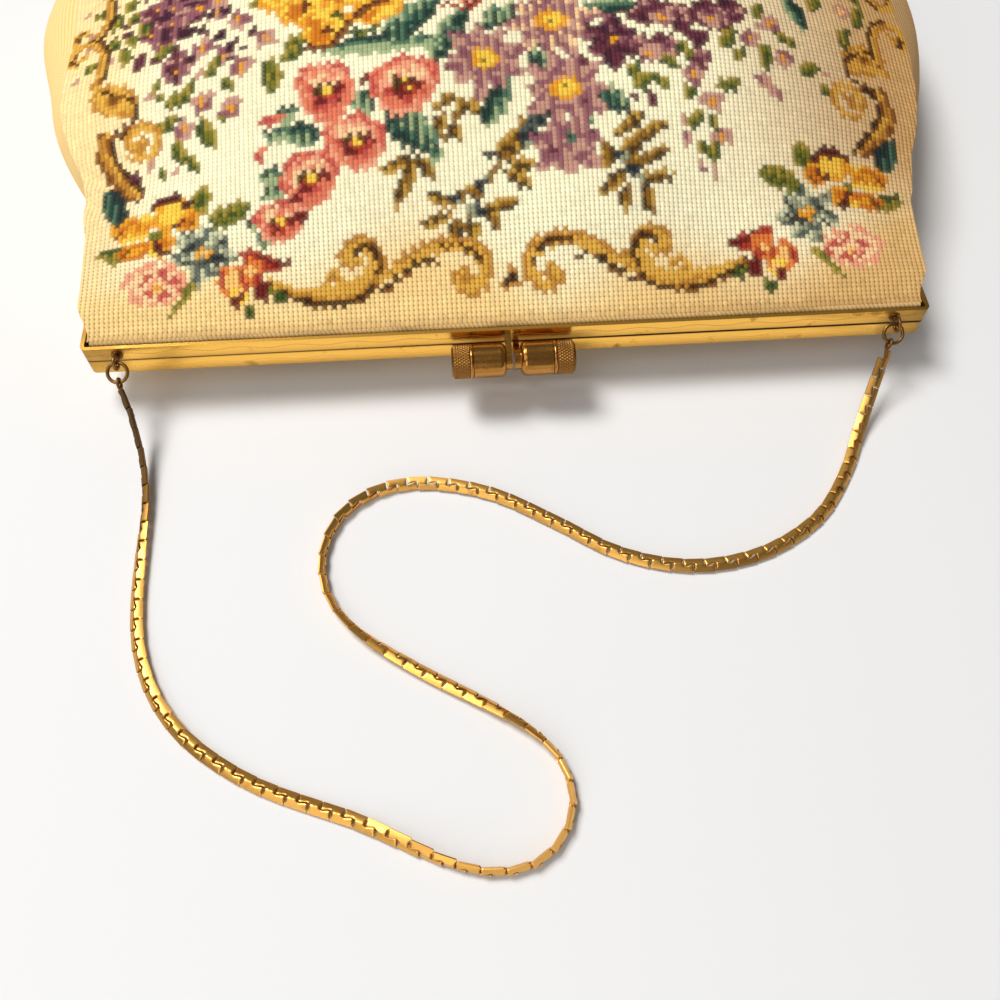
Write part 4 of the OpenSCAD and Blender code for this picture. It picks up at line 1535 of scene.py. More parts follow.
        self.oval((29, 67.6, 1.4, 1.2), (Wool.YELLOW, Wool.AMBER))
        self.oval((16.6, 41.6, 1.2, 2.2), (Wool.DARK_TEAL, Wool.TEAL))

    def twigs(self) -> None:
        """Olive-brown twigs with blue berries."""
        for path in (
            [(-13, 42), (-11, 47), (-8, 53)], [(-18, 17.4), (-9, 22), (-5, 30), (2, 40), (5, 47)],
            [(27, 31), (30, 35), (36, 44)]
        ):
            self.stroke(path, (1.0, 1.3, 1.0), (Wool.TWIG,))
        self.leaves(
            LEAF_TWIG, (-21, 38.4, -29, 35.6, 2.6), (-20.4, 38, -25.6, 27.4, 2.8),
            (-19.6, 39, -15.8, 32.6, 3.0), (-13, 49, -15.4, 43, 2.8), (-15.4, 49.4, -10, 54, 2.4),
            (-11, 47, -9.6, 41.6, 2.8), (-9.6, 48, -8.6, 53, 2.4), (-8, 51.6, -3.6, 48.6, 2.8),
            (-9, 27.6, -18.6, 29, 3.0), (-10, 29.4, -4.6, 30, 3.0), (-12.6, 24.6, -20.6, 22.2, 2.6),
            (-11, 24, -12.4, 17.4, 3.0), (-7, 23, -8.4, 17.6, 2.8), (-4, 26, -1.4, 20, 2.8),
            (-3, 26, 3.4, 26.8, 2.6), (0.6, 35, 6.8, 30, 3.0), (1, 36.6, 9.6, 35, 3.0),
            (0, 39, 6.4, 41, 2.8), (-1.6, 37.6, 3, 43.6, 2.4), (3, 42, 7.4, 48, 2.6),
            (27.4, 41.6, 35.4, 48.6, 3.0), (29, 38.6, 40.2, 45.6, 3.2), (31, 34, 40, 39.4, 3.0),
            (33, 31.6, 41.8, 32.6, 2.8), (25.6, 34, 24.6, 40.6, 3.2), (30, 33.6, 23, 27.6, 2.8),
            (29.6, 30, 28.8, 22.8, 2.8), (33.4, 30.6, 35.6, 23.2, 3.4), (28.6, 37, 33, 42, 2.6)
        )
        self.dabs(
            Wool.NAVY, (0, 0), (-5.4, 31.4, 1.6, 1.6), (-6, 25, 1.3, 2.0), (-12, 28.4, 1.4, 1.2),
            (31, 33, 1.5, 1.8), (28, 37.4, 1.2, 1.2), (-2.6, 38.4, 1.8, 1.0), (5.4, 41.4, 1.2, 1.4),
            (-10.6, 19, 0.9, 1.4), (34, 29.4, 1.0, 1.2)
        )
        self.dabs(
            Wool.BLUE, (0, 0), (-8, 25.2, 1.3, 1.6), (-11, 27.2, 0.9, 0.9), (33, 31.8, 1.2, 1.0),
            (29.4, 36.4, 1.0, 1.2), (-3.6, 33, 0.9, 0.9), (6.6, 40.6, 0.8, 1.2)
        )

    def roses(self) -> None:
        """Yellow rose and pink roses at the heart of the pattern."""
        yellow: Tones = (Wool.AMBER, Wool.YELLOW, Wool.YELLOW, Wool.AMBER)
        for place in (
            (-52, 86, 6, 4.4), (-48, 81, 5, 3.8), (-41, 83.6, 7, 5), (-41, 76, 6, 6.4),
            (-28, 79, 7, 4.4, 20), (-33, 85, 7, 4.4), (-24, 84, 6, 4)
        ):
            self.oval(place, yellow)
        self.dabs(
            Wool.ORANGE, (0, 0), (-48, 80.6, 2.4, 2.6), (-42, 72.4, 2.6, 2.4), (-43.4, 76.4, 1.6, 2.4),
            (-38, 84, 2.4, 1.4), (-30, 77, 2.2, 1.0, 30), (-26, 81, 1.6, 1.2)
        )
        self.stroke(
            [(-45.6, 69.4), (-41, 68.6), (-37.4, 71.6), (-35, 75.8), (-31, 79.4), (-26, 81.6)],
            (1.4, 2.2, 1.6), (Wool.MAROON, Wool.BROWN)
        )
        self.dabs(Wool.MAROON, (0, 0), (-45.4, 82.4, 0.9, 2.2), (-40, 74, 2.0, 1.0), (-36, 86, 1.6, 1.0))
        self.dabs(Wool.GREEN, (0, 0), (-38, 78.6, 1.4, 1.4), (-33.4, 73, 1.2, 0.9), (-29, 72.4, 1.0, 1.4))
        self.dabs(Wool.MOSS, (0, 0), (-36.4, 77.4, 0.9, 0.8), (-31, 71.8, 1.4, 0.7), (-27.4, 74, 0.9, 1.0))
        self.leaves(
            LEAF_OLIVE, (-50.6, 70, -45.6, 72.6, 4.0), (-51.6, 66, -46.8, 70, 3.6),
            (-54.4, 68, -53.6, 58.4, 4.6)
        )
        for step in ((9, 2), (3, 8), (-7, 6), (-9, -3), (-2, -8), (6, -6)):
            self.petal(
                (-5, 90), (step[0] * 1.4, step[1] * 1.3), 11,
                (Wool.ROSE, Wool.PINK, Wool.BLUSH, Wool.BLUSH, Wool.PINK)
            )
        self.stroke([(-12, 79), (-7, 78), (-2, 80.4), (3, 84)], (1.2, 1.9, 1.2), (Wool.DARK_RED, Wool.RED))
        self.dabs(Wool.DARK_RED, (-5, 90), (0, 0, 2.4, 1.8), (3, -3, 1.6, 0.8))
        for step in ((8, 2), (1, 8), (-7, 4), (-5, -6), (4, -7)):
            self.petal((26, 90), step, 8, (Wool.RED, Wool.CORAL, Wool.PEACH, Wool.BLUSH))

    def bouquet(self) -> None:
        """Middle of the pattern, worked again past its turning line."""
        for flip in (self.turn_line, None):
            self.flip = flip
            self.left_sprays()
            self.right_sprays()
            self.twigs()
            self.asters()
            self.blossoms()
        self.roses()

    def colours(self) -> np.ndarray:
        """Works the whole pattern, with random tone and painted shade towards the right.

        Returns:
            The linear colours of the stitches.
        """
        if self.middle_too:
            self.bouquet()
        self.border()
        shade = 1 + self.rng.normal(0, self.uneven, len(self.x))
        cloud = 0.98 + 0.04 * np.sin(self.x * 0.09 + 1.2) * np.sin(self.s * 0.07)
        # Painted shade, darker towards the right and away from the frame
        right_shade = (ease(38, 95, self.x) * ease(10, 34, self.s))[:, None] * np.array(self.right_shade)
        return np.clip(self.colour * (shade * cloud)[:, None] * (1 - right_shade), 0, 1)


@dataclass
class StitchedPanel:
    """A panel of petit point, one cell of the mesh to a stitch."""

    name: str
    pouch: Pouch
    back: bool
    pitch: float = 1.13
    proud: float = 0.17
    tuck: float = 0.5
    shift: float = 1.3
    soften: float = 0.5
    tooth: float = 0.28
    stray: float = 0.25
    stray_seed: int = 5
    # Depth and painted shade of the holes: at the mouth, on the left and the extra towards the right
    mouth_hole_depth_and_shade: float = 0.7
    left_hole_depth_and_shade: float = 0.26
    right_hole_depth_and_shade_more: float = 0.3
    sheet_share: float = 0.93

    @property
    def long(self) -> float:
        """Length of the canvas along its middle."""
        return self.pouch.paced(1, self.back)[1][-1]

    @property
    def count(self) -> int:
        """Stitches along the canvas."""
        return round(self.long / self.pitch)

    @property
    def half(self) -> int:
        """Stitches from the middle to the widest place."""
        return math.ceil(self.pouch.half_wide / self.pitch)

    def canvas(self) -> tuple[np.ndarray, np.ndarray, np.ndarray]:
        """Lays out the canvas.

        Returns:
            The points where its threads cross, their places in stitches with how open the holes are, and
            the corners of its cells.
        """
        y, s = self.pouch.paced(self.count, self.back)
        lines = np.arange(-self.half, self.half + 1) * self.pitch
        edge = (self.pouch.edge(y) if self.back else self.pouch.front_edge(y))[:, None]
        x = np.clip(lines[None, :], -edge, edge)
        shape = self.pouch.back if self.back else self.pouch.front
        points = self.pouch.rumple(shape(x, y[:, None] + 0 * x))
        points[0, :, 1] -= self.tuck
        # Painted shade in the holes, stronger at the mouth, where the cloth turns from the light, and
        # towards the right
        middle_hole_depth_and_shade = self.left_hole_depth_and_shade + self.right_hole_depth_and_shade_more * ease(10, 80, x)
        hole_depth_and_shade = mix(self.mouth_hole_depth_and_shade, middle_hole_depth_and_shade, ease(12, 42, s[:, None]))
        rows, columns = np.arange(len(y))[:, None], np.arange(len(lines))[None, :]
        grid = np.stack(np.broadcast_arrays(x / self.pitch + self.half, rows, hole_depth_and_shade), -1)
        first = (lines[None, :] <= -edge).sum(1) - 1
        last = len(lines) - (lines[None, :] >= edge).sum(1)
        low, high = np.maximum(first, 0), np.minimum(last, len(lines) - 1)
        index = rows * len(lines) + np.clip(columns, low[:, None], high[:, None])
        cells = np.stack([index[:-1, :-1], index[:-1, 1:], index[1:, 1:], index[1:, :-1]], -1)
        corners = cells.reshape(-1, 4)
        filled = (corners[:, 0] != corners[:, 1]) | (corners[:, 2] != corners[:, 3])
        return points.reshape(-1, 3), grid.reshape(-1, 3), corners[filled]

    def middles(self, points: np.ndarray, corners: np.ndarray) -> np.ndarray:
        """Middles of the stitches, a little proud of the front canvas.

        Args:
            points: Points of the canvas.
            corners: Corners of its cells.

        Returns:
            The middles.
        """
        across = points[corners[:, 2]] - points[corners[:, 0]]
        along = points[corners[:, 3]] - points[corners[:, 1]]
        normal = np.cross(across, along)
        size = np.linalg.norm(normal, axis=1)
        share = np.sqrt(np.clip(size / 2 / self.pitch**2, 0, 1))[:, None]
        lift = 0.0 if self.back else self.proud
        return points[corners].mean(1) + normal / np.maximum(size, 1e-9)[:, None] * lift * share

    def wools(self, cell: np.ndarray) -> np.ndarray:
        """Wools of the stitches, with small teeth along the lines of the design.

        Args:
            cell: Places of the stitches in stitches.

        Returns:
            Their linear colours.
        """
        stray = np.random.default_rng(self.stray_seed).normal(0, self.stray, len(cell))
        teeth = self.tooth * np.where(np.floor(cell[:, 0]) % 2, 1, -1) + stray
        x = (cell[:, 0] - self.half) * self.pitch
        s = cell[:, 1] * self.long / self.count - self.shift + teeth
        return FloralDesign(x, s, middle_too=not self.back).colours()

    def softened(
        self, colours: np.ndarray, corners: np.ndarray, faces: np.ndarray, owner: np.ndarray, first: int
    ) -> np.ndarray:
        """Mixes the wools a little where stitches meet.

        Args:
            colours: Wools of the stitches.
            corners: Corners of their cells.
            faces: Faces of the panel, each with the middle of its stitch as one corner.
            owner: Stitch of each face.
            first: Place of the first middle among the points.

        Returns:
            Colours of the corners of the faces.
        """
        total = np.zeros((first + len(corners), 3))
        weight = np.zeros(len(total))
        for k in range(4):
            np.add.at(total, corners[:, k], colours)
            np.add.at(weight, corners[:, k], 1)
        total[first:], weight[first:] = colours, 1
        shared = total / np.maximum(weight, 1)[:, None]
        rgba = np.ones((len(faces), 3, 4))
        rgba[..., :3] = mix(colours[owner][:, None, :], shared[faces], self.soften)
        return rgba

    def build(self, material: bpy.types.Material) -> bpy.types.Object:
        """Makes the panel.

        Args:
            material: Its finish.

        Returns:
            The piece.
        """
        points, grid, corners = self.canvas()
        cell = grid[corners].mean(1)
        heads = len(points) + np.arange(len(corners))
        triangles = [np.stack([corners[:, k], corners[:, (k + 1) % 4], heads], -1) for k in range(4)]
        faces = np.stack(triangles, 1).reshape(-1, 3)
        solid = faces[:, 0] != faces[:, 1]
        owner = np.repeat(np.arange(len(corners)), 4)[solid]
        faces = faces[solid]
        if self.back:
            faces = faces[:, ::-1]
        used, packed = np.unique(faces, return_inverse=True)
        every = np.vstack([points, self.middles(points, corners)])
        piece = mesh_piece(self.name, every[used], packed.reshape(faces.shape))
        set_vector(piece, "stitch", np.vstack([grid, cell])[used])
        wools = self.softened(self.wools(cell), corners, faces, owner, len(points))
        set_wool(piece, "CORNER", wools)
        dress(piece, material)
        self.pouch.follow(piece, not self.back)
        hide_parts(self.name.replace("_needlepoint", "_panel"))
        wide, long = 2 * self.pouch.half_wide, self.long
        area = self.sheet_share * wide * long * MM * MM
        return piece


@dataclass
class Gusset:
    """A side gusset of plain ground stitches."""

    side: int
    pouch: Pouch
    rows: int = 150
    columns: int = 24
    rib: float = 1.13
    # Depth and painted shade of the gusset's holes
    hole_depth_and_shade: float = 0.8
    tuck: float = 0.5
    tinted: float = 0.9
    least_share: float = 0.31

    def build(self, material: bpy.types.Material) -> bpy.types.Object:
        """Makes the gusset.

        Args:
            material: Its finish.

        Returns:
            The piece.
        """
        name = "left" if self.side < 0 else "right"
        y, s = self.pouch.paced(self.rows)
        g = np.linspace(0, 1, self.columns + 1)
        points = self.pouch.rumple(self.pouch.gusset(self.side, g[None, :], y[:, None]))
        points[0, :, 1] -= self.tuck
        faces = grid_faces(len(y), len(g))
        if self.side > 0:
            faces = faces[:, ::-1]
        piece = mesh_piece(f"gusset_{name}_cloth", points.reshape(-1, 3), faces)
        deep = np.linalg.norm(np.diff(points, axis=1), axis=2).sum(1)
        wide = float(deep.max())
        grid = np.broadcast_arrays(g[None, :] * wide / self.rib, s[:, None] / self.rib, self.hole_depth_and_shade)
        set_vector(piece, "stitch", np.stack(grid, -1).reshape(-1, 3))
        # The left gusset is warm; the right one takes dust and painted shade, since it lies in shade
        tint = Wool.WARM if self.side < 0 else Wool.DUST_AND_SHADE
        tone = mix(np.array(Wool.GROUND.value), np.array(tint.value), self.tinted)
        set_wool(piece, "POINT", np.tile([*tone, 1.0], len(piece.data.vertices)))
        dress(piece, material)
        self.pouch.follow(piece, False)
        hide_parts(f"gusset_{name}")
        return piece


@dataclass
class Lining:
    """Lining of the front or of the back and sides."""

    pouch: Pouch
    back: bool
    inset: float = 1.8
    rows: int = 90
    columns: int = 80
    side_columns: int = 12

    def shape(self) -> np.ndarray:
        """Points of the lining, row by row.

        Returns:
            The points.
        """
        pace = np.sin(np.linspace(0, 0.5, self.rows + 1) * math.pi)
        y = mix(self.pouch.mouth_y, self.pouch.long - self.inset, pace)[:, None]
        x = np.linspace(-1, 1, self.columns + 1)[None, :] * self.pouch.edge(y, self.inset)
        if not self.back:
            return self.pouch.rumple(self.pouch.front(x, y + 0 * x, self.inset))
        g = np.linspace(0, 1, self.side_columns + 1)[None, :-1]
        left = self.pouch.gusset(-1, g, y, self.inset)
        right = self.pouch.gusset(1, g[:, ::-1], y, self.inset)
        middle = self.pouch.back(x, y + 0 * x, self.inset)
        return self.pouch.rumple(np.concatenate([left, middle, right], 1))

    def build(self, material: bpy.types.Material) -> bpy.types.Object:
        """Makes the lining.

        Args:
            material: Its finish.

        Returns:
            The piece.
        """
        word = "back" if self.back else "front"
        points = self.shape()
        faces = grid_faces(points.shape[0], points.shape[1])
        if not self.back:
            faces = faces[:, ::-1]
        piece = mesh_piece(f"lining_{word}_cloth", points.reshape(-1, 3), faces)
        dress(piece, material)
        self.pouch.follow(piece, not self.back)
        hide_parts(f"lining_{word}")
        return piece


# Cords and metalwork


@dataclass
class Piping:
    """Twisted cord along the lip of a frame half."""

    name: str
    body: str
    node: str
    height: float
    half_long: float = 98.0
    y: float = -72.15
    radius: float = 0.72
    core: float = 0.7
    strand: float = 0.32
    lay: float = 1.05
    sides: int = 12
    per_turn: int = 9

    def build(self, material: bpy.types.Material) -> bpy.types.Object:
        """Makes the cord.

        Args:
            material: Its finish.

        Returns:
            The piece.
        """
        rings = int(2 * self.half_long / self.lay * self.per_turn)
        x = np.linspace(-self.half_long, self.half_long, rings)[:, None]
        angle = np.linspace(0, 2 * math.pi, self.sides, endpoint=False)[None, :]
        twist = np.abs(np.cos(angle / 2 - math.pi * x / self.lay))
        radius = self.radius * (self.core + self.strand * twist)
        y, z = self.y + radius * np.cos(angle), self.height + radius * np.sin(angle)
        points = np.stack(np.broadcast_arrays(x, y, z), -1)
        piece = mesh_piece(self.name, points.reshape(-1, 3), grid_faces(rings, self.sides, True))
        mount(piece, material, self.body, self.node)
        return piece


@dataclass
class KnurledCap:
    """Knurled cap of a clasp barrel."""

    name: str
    body: str
    node: str
    side: int
    start: float = 10.3
    long: float = 4.2
    radius: float = 4.0
    y: float = -79.7
    height: float = 13.2
    around: int = 34
    depth: float = 0.3
    sharp: float = 0.6
    pitch: float = 1.1
    plain: float = 0.5
    root_drop: float = 0.4
    neck_drop: float = 0.45
    lip: float = 0.12
    lip_drop: float = 0.5
    face_drop: float = 0.8
    pole: float = 0.02
    ring: int = 272
    rows: int = 34

    def build(self, material: bpy.types.Material) -> bpy.types.Object:
        """Makes the cap with two crossing sets of grooves.

        Args:
            material: Its finish.

        Returns:
            The piece.
        """
        angle = np.linspace(0, 2 * math.pi, self.ring, endpoint=False)[None, :]
        along = np.linspace(0, self.long - self.plain, self.rows)[:, None]
        turns = [self.around / 2 * angle + way * math.pi * along / self.pitch for way in (-1, 1)]
        cut = 1 - np.minimum(*[np.abs(np.sin(turn)) for turn in turns]) ** self.sharp
        starts = [(0.0, self.pole), (0.0, self.radius - self.root_drop)]
        ends = [
            (self.long - self.plain, self.radius - self.neck_drop),
            (self.long - self.lip, self.radius - self.lip_drop),
            (self.long, self.radius - self.face_drop),
            (self.long, self.pole),
        ]
        place = np.concatenate([[p for p, _ in starts], along[:, 0], [p for p, _ in ends]])
        root, tail = ([np.full(self.ring, r) for _, r in rows] for rows in (starts, ends))
        size = np.vstack([*root, self.radius - self.depth * cut, *tail])
        x = self.side * (self.start + place[:, None] + 0 * angle)
        points = np.stack([x, self.y + size * np.cos(angle), self.height + size * np.sin(angle)], -1)
        faces = grid_faces(len(place), self.ring, True)
        if self.side < 0:
            faces = faces[:, ::-1]
        piece = mesh_piece(self.name, points.reshape(-1, 3), faces)
        mount(piece, material, self.body, self.node)
        return piece


@dataclass
class Chain:
    """Flat link chain on its route over the table."""

    bar_y: float = -74.2
    eye_x: float = 92.0
    eye_z: float = 15.25
    eye_y: float = -76.59
    link_wide: float = 3.0
    link_thick: float = 1.0
    pitch: float = 4.7
    ring_r: float = 2.3
    wire: float = 0.84
    end_ring_r: float = 1.2
    end_wire: float = 0.7
    bevel: float = 0.12
    lobe: float = 0.22
    hook: float = 0.34
    crest: float = 0.84
    rim: float = 0.14
    sole: float = 0.62
    slot: float = 0.38
    tight: float = 0.03
    leave_left: Point3 = (0.1, -0.84, -0.53)
    leave_right: Point3 = (-0.41, -0.72, -0.56)
    roll_left: float = 80.0
    roll_right: float = 35.0
    clear: float = 0.2
    play: float = 0.12
    joint: float = 0.1
    brown_left: float = 0.9
    brown_right: float = 0.5
    brown_ring: float = 0.8
    low_hold: Point3 = (0.0, -50.0, 2.0)
    high_hold: Point3 = (0.0, -5.0, 14.0)
    ring_steps: int = 32
    wire_steps: int = 12
    route: tuple[tuple[float, float, float, float], ...] = (
        (-89.6, -11.5, 8, 80), (-88.5, -16, 4.7, 76), (-87.3, -21, 2.2, 70), (-86.4, -26.5, 0.7, 62),
        (-85.8, -33, 0, 50), (-85.5, -45, 0, 28), (-85, -57, 0, 18), (-83.3, -68, 0, 20),
        (-79, -78.5, 0, 20), (-72.5, -87, 0, 12), (-64.5, -93.5, 0, 4), (-56, -98.5, 0, 0),
        (-47, -102.3, 0, 0), (-38, -105.8, 0, 8), (-30, -109.8, 0, 32), (-21.5, -114.2, 0, 62),
        (-12.5, -117, 0, 84), (-4, -116.2, 0, 90), (2, -111.5, 0, 90), (4.5, -104.5, 0, 90),
        (2.5, -96.5, 0, 78), (-3.5, -89.8, 0, 55), (-12, -84, 0, 25), (-24.5, -76.5, 0, 15),
        (-37, -67.5, 0, 45), (-43.7, -58.8, 0, 68), (-45.3, -49, 0, 74), (-41.8, -39.2, 0, 72),
        (-33.5, -32.8, 0, 56), (-22, -31, 0, 34), (-7, -34.7, 0, 22), (7, -43, 0, 16), (20.5, -51.8, 0, 14),
        (36, -56, 0, 16), (52, -54, 0, 22), (66.5, -46, 0, 22), (75.8, -34.5, 0, 16), (81, -24.5, 0.9, 12),
        (85.3, -15.5, 4.6, 16),
    )

    def leave(self, side: int) -> np.ndarray:
        """Direction in which the chain leaves an eye."""
        way = np.array(self.leave_left if side < 0 else self.leave_right)
        return way / np.linalg.norm(way)

    def eye(self, side: int) -> np.ndarray:
        """Place in an eye from which its ring hangs."""
        return np.array([side * self.eye_x, self.eye_y, self.eye_z])

    def end_ring(self, side: int) -> np.ndarray:
        """Middle of the small ring at an end of the chain."""
        reach = 2 * self.ring_r - self.wire / 2 - self.end_wire / 2 - self.play + self.end_ring_r
        return self.eye(side) + self.leave(side) * reach

    def start(self, side: int) -> list[float]:
        """First or last point of the route, with its roll."""
        point = self.end_ring(side) + self.leave(side) * (self.end_ring_r + self.joint)
        return [*point, self.roll_left if side < 0 else self.roll_right]

    def rest(self, roll: float) -> float:
        """Height of a link's middle above the table.

        Args:
            roll: How far the link is turned about the chain, in degrees.

        Returns:
            The height.
        """
        turn = math.radians(roll)
        high = self.link_wide * abs(math.sin(turn)) + self.link_thick * abs(math.cos(turn))
        return high / 2 + self.clear

    def age(self, distance: float, long: float) -> float:
        """How brown the metal is.

        Args:
            distance: Distance along the chain.
            long: Length of the chain.

        Returns:
            0 for bright metal to 1 for brown.
        """
        left = self.brown_left * (1 - ease(10, 48, np.array(distance)))
        right = self.brown_right * (1 - ease(2, 26, np.array(long - distance)))
        return float(np.maximum(left, right))

    def curve(self) -> np.ndarray:
        """Draws the smooth route.

        Returns:
            Its points with their rolls.
        """
        knots = [self.start(-1)]
        knots += [[x, self.bar_y + y, lift + self.rest(roll), roll] for x, y, lift, roll in self.route]
        knots.append(self.start(1))
        return smooth_line(np.array([knots[0], *knots, knots[-1]]))

    def lobe_patch(self) -> tuple[np.ndarray, np.ndarray]:
        """Shapes a link's upper lobe, domed across the chain with a wall round its rim.

        Returns:
            Its points and quads.
        """
        half_w = self.link_wide / 2
        u = np.array([0, 0.03, 0.08, 0.15, 0.25, 0.375, 0.5, 0.625, 0.75, 0.85, 0.92, 0.97, 1])[None, :]
        t = np.array([0, 0.1, 0.25, 0.42, 0.6, 0.78, 0.92, 1])[:, None]
        from_end = np.minimum(u, 1 - u) * self.pitch
        inner = self.hook * np.where(u < 0.5, 4 * u - 1, 3 - 4 * u) + np.where(u < 0.5, self.slot / 2, 0)
        round_off = np.maximum(0, self.lobe - from_end)
        outer = half_w - self.lobe + np.sqrt(self.lobe**2 - round_off**2)
        w = mix(inner, outer, t)
        gap = mix(self.slot, self.tight, ease(0.5, 0.85, w / half_w))
        x = mix(gap / 2, self.pitch - gap / 2, u + 0 * t)
        z = mix(self.rim, self.crest, 1 - np.abs(w / half_w) ** 1.3)
        near_slot = 1 - ease(0.45, 0.85, w / half_w)
        z = z - self.bevel * near_slot * (1 - ease(0, 0.2, from_end))
        z = z - np.where(u < 0.5, self.bevel, 0) * (1 - ease(0, 0.16, t))
        rows, columns = w.shape
        rim = [(0, j) for j in range(columns)] + [(i, columns - 1) for i in range(1, rows)]
        rim += [(rows - 1, j) for j in range(columns - 2, -1, -1)] + [(i, 0) for i in range(rows - 2, 0, -1)]
        i, j = np.array(rim).T
        top = np.stack([x, w, z], -1)
        under = np.stack([x, w, -np.minimum(z, self.sole)], -1)
        wall = np.concatenate([under[i, j], top[i, j]])
        size = rows * columns
        quads = grid_faces(rows, columns)
        points = np.vstack([top.reshape(-1, 3), under.reshape(-1, 3), wall])
        return points, np.vstack([quads, quads[:, ::-1] + size, grid_faces(2, len(rim), True) + 2 * size])

    def link(self) -> tuple[np.ndarray, np.ndarray]:
        """Shapes one link of two hooked lobes, one of them turned half round, lying along +X.

        Returns:
            Its points and triangles.
        """
        upper, quads = self.lobe_patch()
        middle = 0.75 * self.pitch
        upper = upper - np.array([middle, 0, 0])
        points = np.vstack([upper, upper * (-1, -1, 1)])
        return points, halves(np.vstack([quads, quads + len(upper)]))

    def ring(
        self, middle: np.ndarray, a: np.ndarray, b: np.ndarray, radius: float, wire: float
    ) -> tuple[np.ndarray, np.ndarray]:
        """Shapes a wire ring.

        Args:
            middle: Its middle.
            a: A vector in its plane.
            b: Another vector in its plane.
            radius: Its radius to the middle of the wire.
            wire: Diameter of the wire.

        Returns:
            Its points and triangles.
        """
        normal = np.cross(a, b)
        normal = normal / np.linalg.norm(normal)
        u = a / np.linalg.norm(a)
        m = np.cross(normal, u)
        rows, columns = self.ring_steps, self.wire_steps
        turn = np.linspace(0, 2 * math.pi, rows, endpoint=False)[:, None, None]
        round_wire = np.linspace(0, 2 * math.pi, columns, endpoint=False)[None, :, None]
        out = np.cos(turn) * u + np.sin(turn) * m
        away = radius + wire / 2 * np.cos(round_wire)
        points = middle + out * away + normal * (wire / 2 * np.sin(round_wire))
        i, j = np.meshgrid(np.arange(rows), np.arange(columns), indexing="ij")
        steps = ((0, 0), (1, 0), (1, 1), (0, 1))
        corners = [((i + di) % rows) * columns + (j + dj) % columns for di, dj in steps]
        return points.reshape(-1, 3), halves(np.stack(corners, -1).reshape(-1, 4))

    def jump_ring(self, side: int, material: bpy.types.Material) -> bpy.types.Object:
        """Makes the ring that joins an eye to the chain and goes with the front half of the frame.

        Args:
            side: -1 for the left one, 1 for the right one.
            material: Its finish.

        Returns:
            The piece.
        """
        word = "left" if side < 0 else "right"
        leave = self.leave(side)
        middle = self.eye(side) + leave * self.ring_r
        points, faces = self.ring(middle, leave, np.array([1.0, 0, 0]), self.ring_r, self.wire)
        piece = mesh_piece(f"jump_ring_{word}_wire", points, faces)
        mount(piece, material, "front_frame", f"jump_ring_{word}")
        return piece

    def links(self, shape: np.ndarray, curve: np.ndarray, run: np.ndarray) -> list[tuple[np.ndarray, float]]:
        """Places the links along the route.

        Args:
            shape: Points of one link, along +X.
            curve: Points of the route with their rolls.
            run: Their distances along it.

        Returns:
            The points of each link and how brown it is.
        """
        span = run[-1] - 0.5 * self.pitch
        count = math.floor(span / self.pitch)
        step = span / count
        placed = []
        for i in range(count):
            stops = np.array([i + 0.25, i + 1.25, i + 0.75]) * step
            p, q, mid = np.stack([np.interp(stops, run, curve[:, k]) for k in range(4)], -1)
            t = (q - p)[:3] / np.linalg.norm((q - p)[:3])
            flat = np.cross([0, 0, 1], t)
            flat = flat / np.linalg.norm(flat)
            roll = math.radians(mid[3])
            w = flat * math.cos(roll) + np.cross(t, flat) * math.sin(roll)
            turn = np.stack([t, w, np.cross(t, w)])
            placed.append(((p + q)[:3] / 2 + shape @ turn, self.age(stops[2], run[-1])))
        return placed

    def build(self, material: bpy.types.Material) -> bpy.types.Object:
        """Makes the chain.

        Args:
            material: Its finish.

        Returns:
            The piece.
        """
        curve = self.curve()
        run = np.concatenate([[0], np.cumsum(np.linalg.norm(np.diff(curve[:, :3], axis=0), axis=1))])
        shape, triangles = self.link()
        parts = [(points, triangles, brown) for points, brown in self.links(shape, curve, run)]
        for side in (-1, 1):
            leave = self.leave(side)
            across = np.cross(leave, [1, 0, 0])
            ring = self.ring(self.end_ring(side), leave, across, self.end_ring_r, self.end_wire)
            parts.append((*ring, self.brown_ring))
        firsts = np.cumsum([0, *[len(points) for points, _, _ in parts]])
        points = np.vstack([points for points, _, _ in parts])
        faces = np.vstack([faces + first for (_, faces, _), first in zip(parts, firsts)])
        ages = np.concatenate([np.full(len(points), brown) for points, _, brown in parts])
        piece = mesh_piece("chain_handle", points, faces)
        made = piece.data.attributes.new("age", "FLOAT", "POINT")
        made.data.foreach_set("value", ages.astype(np.float32))
        dress(piece, material)
        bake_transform(piece)
        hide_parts("chain_links")
        return piece


@dataclass
class BagFrame:
    """Metal parts that keep their CAD shape."""

    nodes: Mapping[str, bpy.types.Object]

    def dress_all(self, finishes: Mapping[str, bpy.types.Material]) -> None:
        """Gives each named CAD part its finish.

        Args:
            finishes: The finishes by the names of their parts.
        """
        for name, material in finishes.items():
            dress(self.nodes[name], material)
            LOG.info("dressed %s", name)


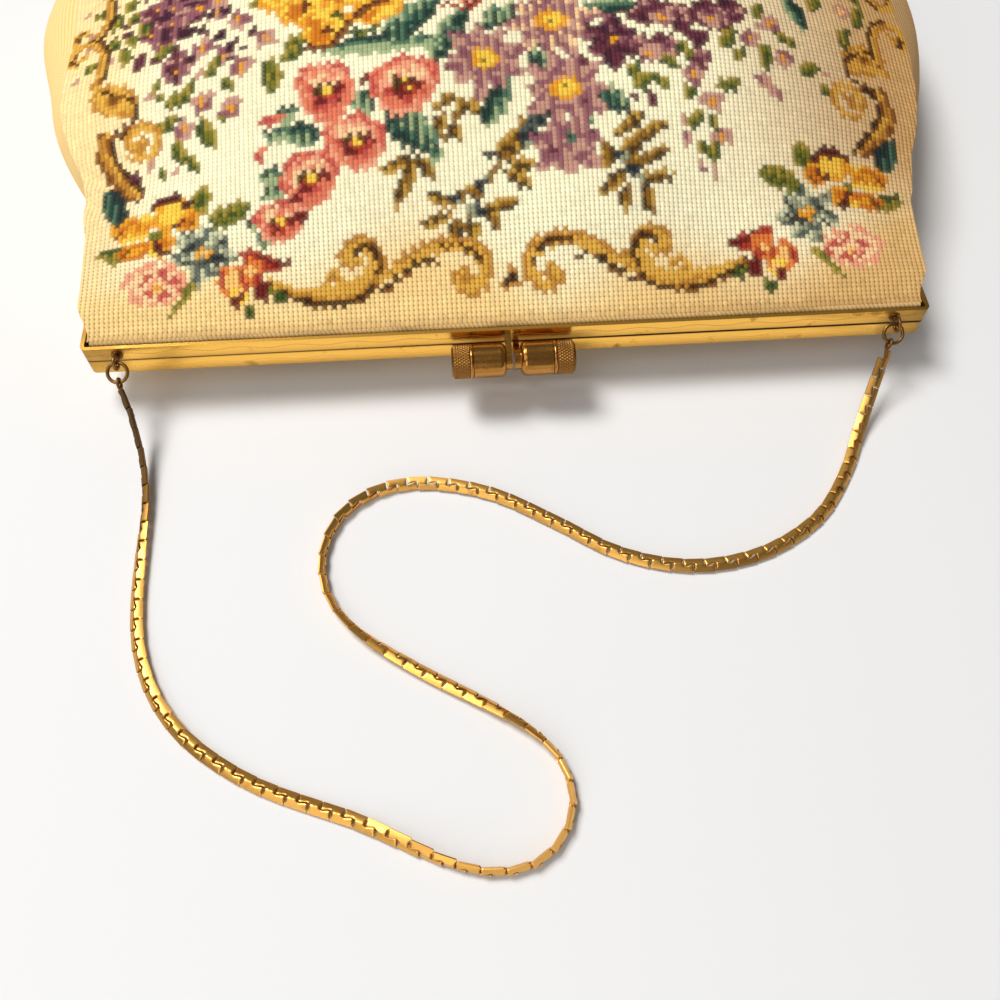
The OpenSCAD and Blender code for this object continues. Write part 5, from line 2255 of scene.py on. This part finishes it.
def main() -> None:
    """Builds the stage, dresses the metal and makes the cloth, the cords and the chain."""
    logging.basicConfig(level=logging.INFO, format="%(name)s: %(message)s")
    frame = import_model()
    Studio().build()
    gold, dark = linear(255, 198, 92), linear(124, 78, 30)
    frame_metal = FrameFinish("frame_gold", gold, dark, 0.26, 0.2).material()
    rivet_metal = GoldFinish("rivet_gold", linear(150, 108, 52), linear(80, 52, 26), 0.4, 0.6).material()
    clasp_metal = GoldFinish("clasp_gold", linear(186, 132, 64), linear(100, 62, 28), 0.22, 0.4).material()
    knurl_metal = GoldFinish("knurl_gold", linear(154, 108, 54), linear(90, 58, 28), 0.38, 0.4).material()
    chain_metal = ChainFinish("chain_gold", linear(226, 172, 88), linear(120, 78, 36), 0.36, 0.3).material()
    ring_metal = GoldFinish("ring_gold", linear(142, 104, 56), linear(78, 50, 26), 0.36, 0.6).material()
    nodes = frame["nodes"]
    BagFrame(nodes).dress_all({
        "frame_front": frame_metal, "frame_back": frame_metal,
        "hinge_rivet_left": rivet_metal, "hinge_rivet_right": rivet_metal,
        "clasp_stalk_front": clasp_metal, "clasp_stalk_back": clasp_metal,
        "clasp_barrel_front": clasp_metal, "clasp_barrel_back": clasp_metal,
        "chain_eye_left": ring_metal, "chain_eye_right": ring_metal,
    })
    pouch = Pouch()
    wool = WoolFinish("petit_point_wool").material()
    lining = ClothFinish("lining_sateen", linear(238, 228, 204), linear(206, 188, 152), 0.5).material()
    cord = ClothFinish("piping_thread", linear(206, 172, 112), linear(112, 78, 40)).material()
    chain = Chain()
    made = [
        chain.build(chain_metal),
        chain.jump_ring(-1, ring_metal),
        chain.jump_ring(1, ring_metal),
        StitchedPanel("front_needlepoint", pouch, False).build(wool),
        StitchedPanel("back_needlepoint", pouch, True).build(wool),
        Gusset(-1, pouch).build(wool),
        Gusset(1, pouch).build(wool),
        Lining(pouch, False).build(lining),
        Lining(pouch, True).build(lining),
        Piping("piping_front_cord", "front_frame", "piping_front", 16.9).build(cord),
        Piping("piping_back_cord", "bag", "piping_back", 9.5).build(cord),
        KnurledCap("clasp_cap_front_knurl", "front_frame", "clasp_cap_front", -1).build(knurl_metal),
        KnurledCap("clasp_cap_back_knurl", "bag", "clasp_cap_back", 1).build(knurl_metal),
    ]
    for piece in made:
        LOG.info("made %s with %d faces", piece.name, len(piece.data.polygons))


if __name__ == "__main__":
    main()
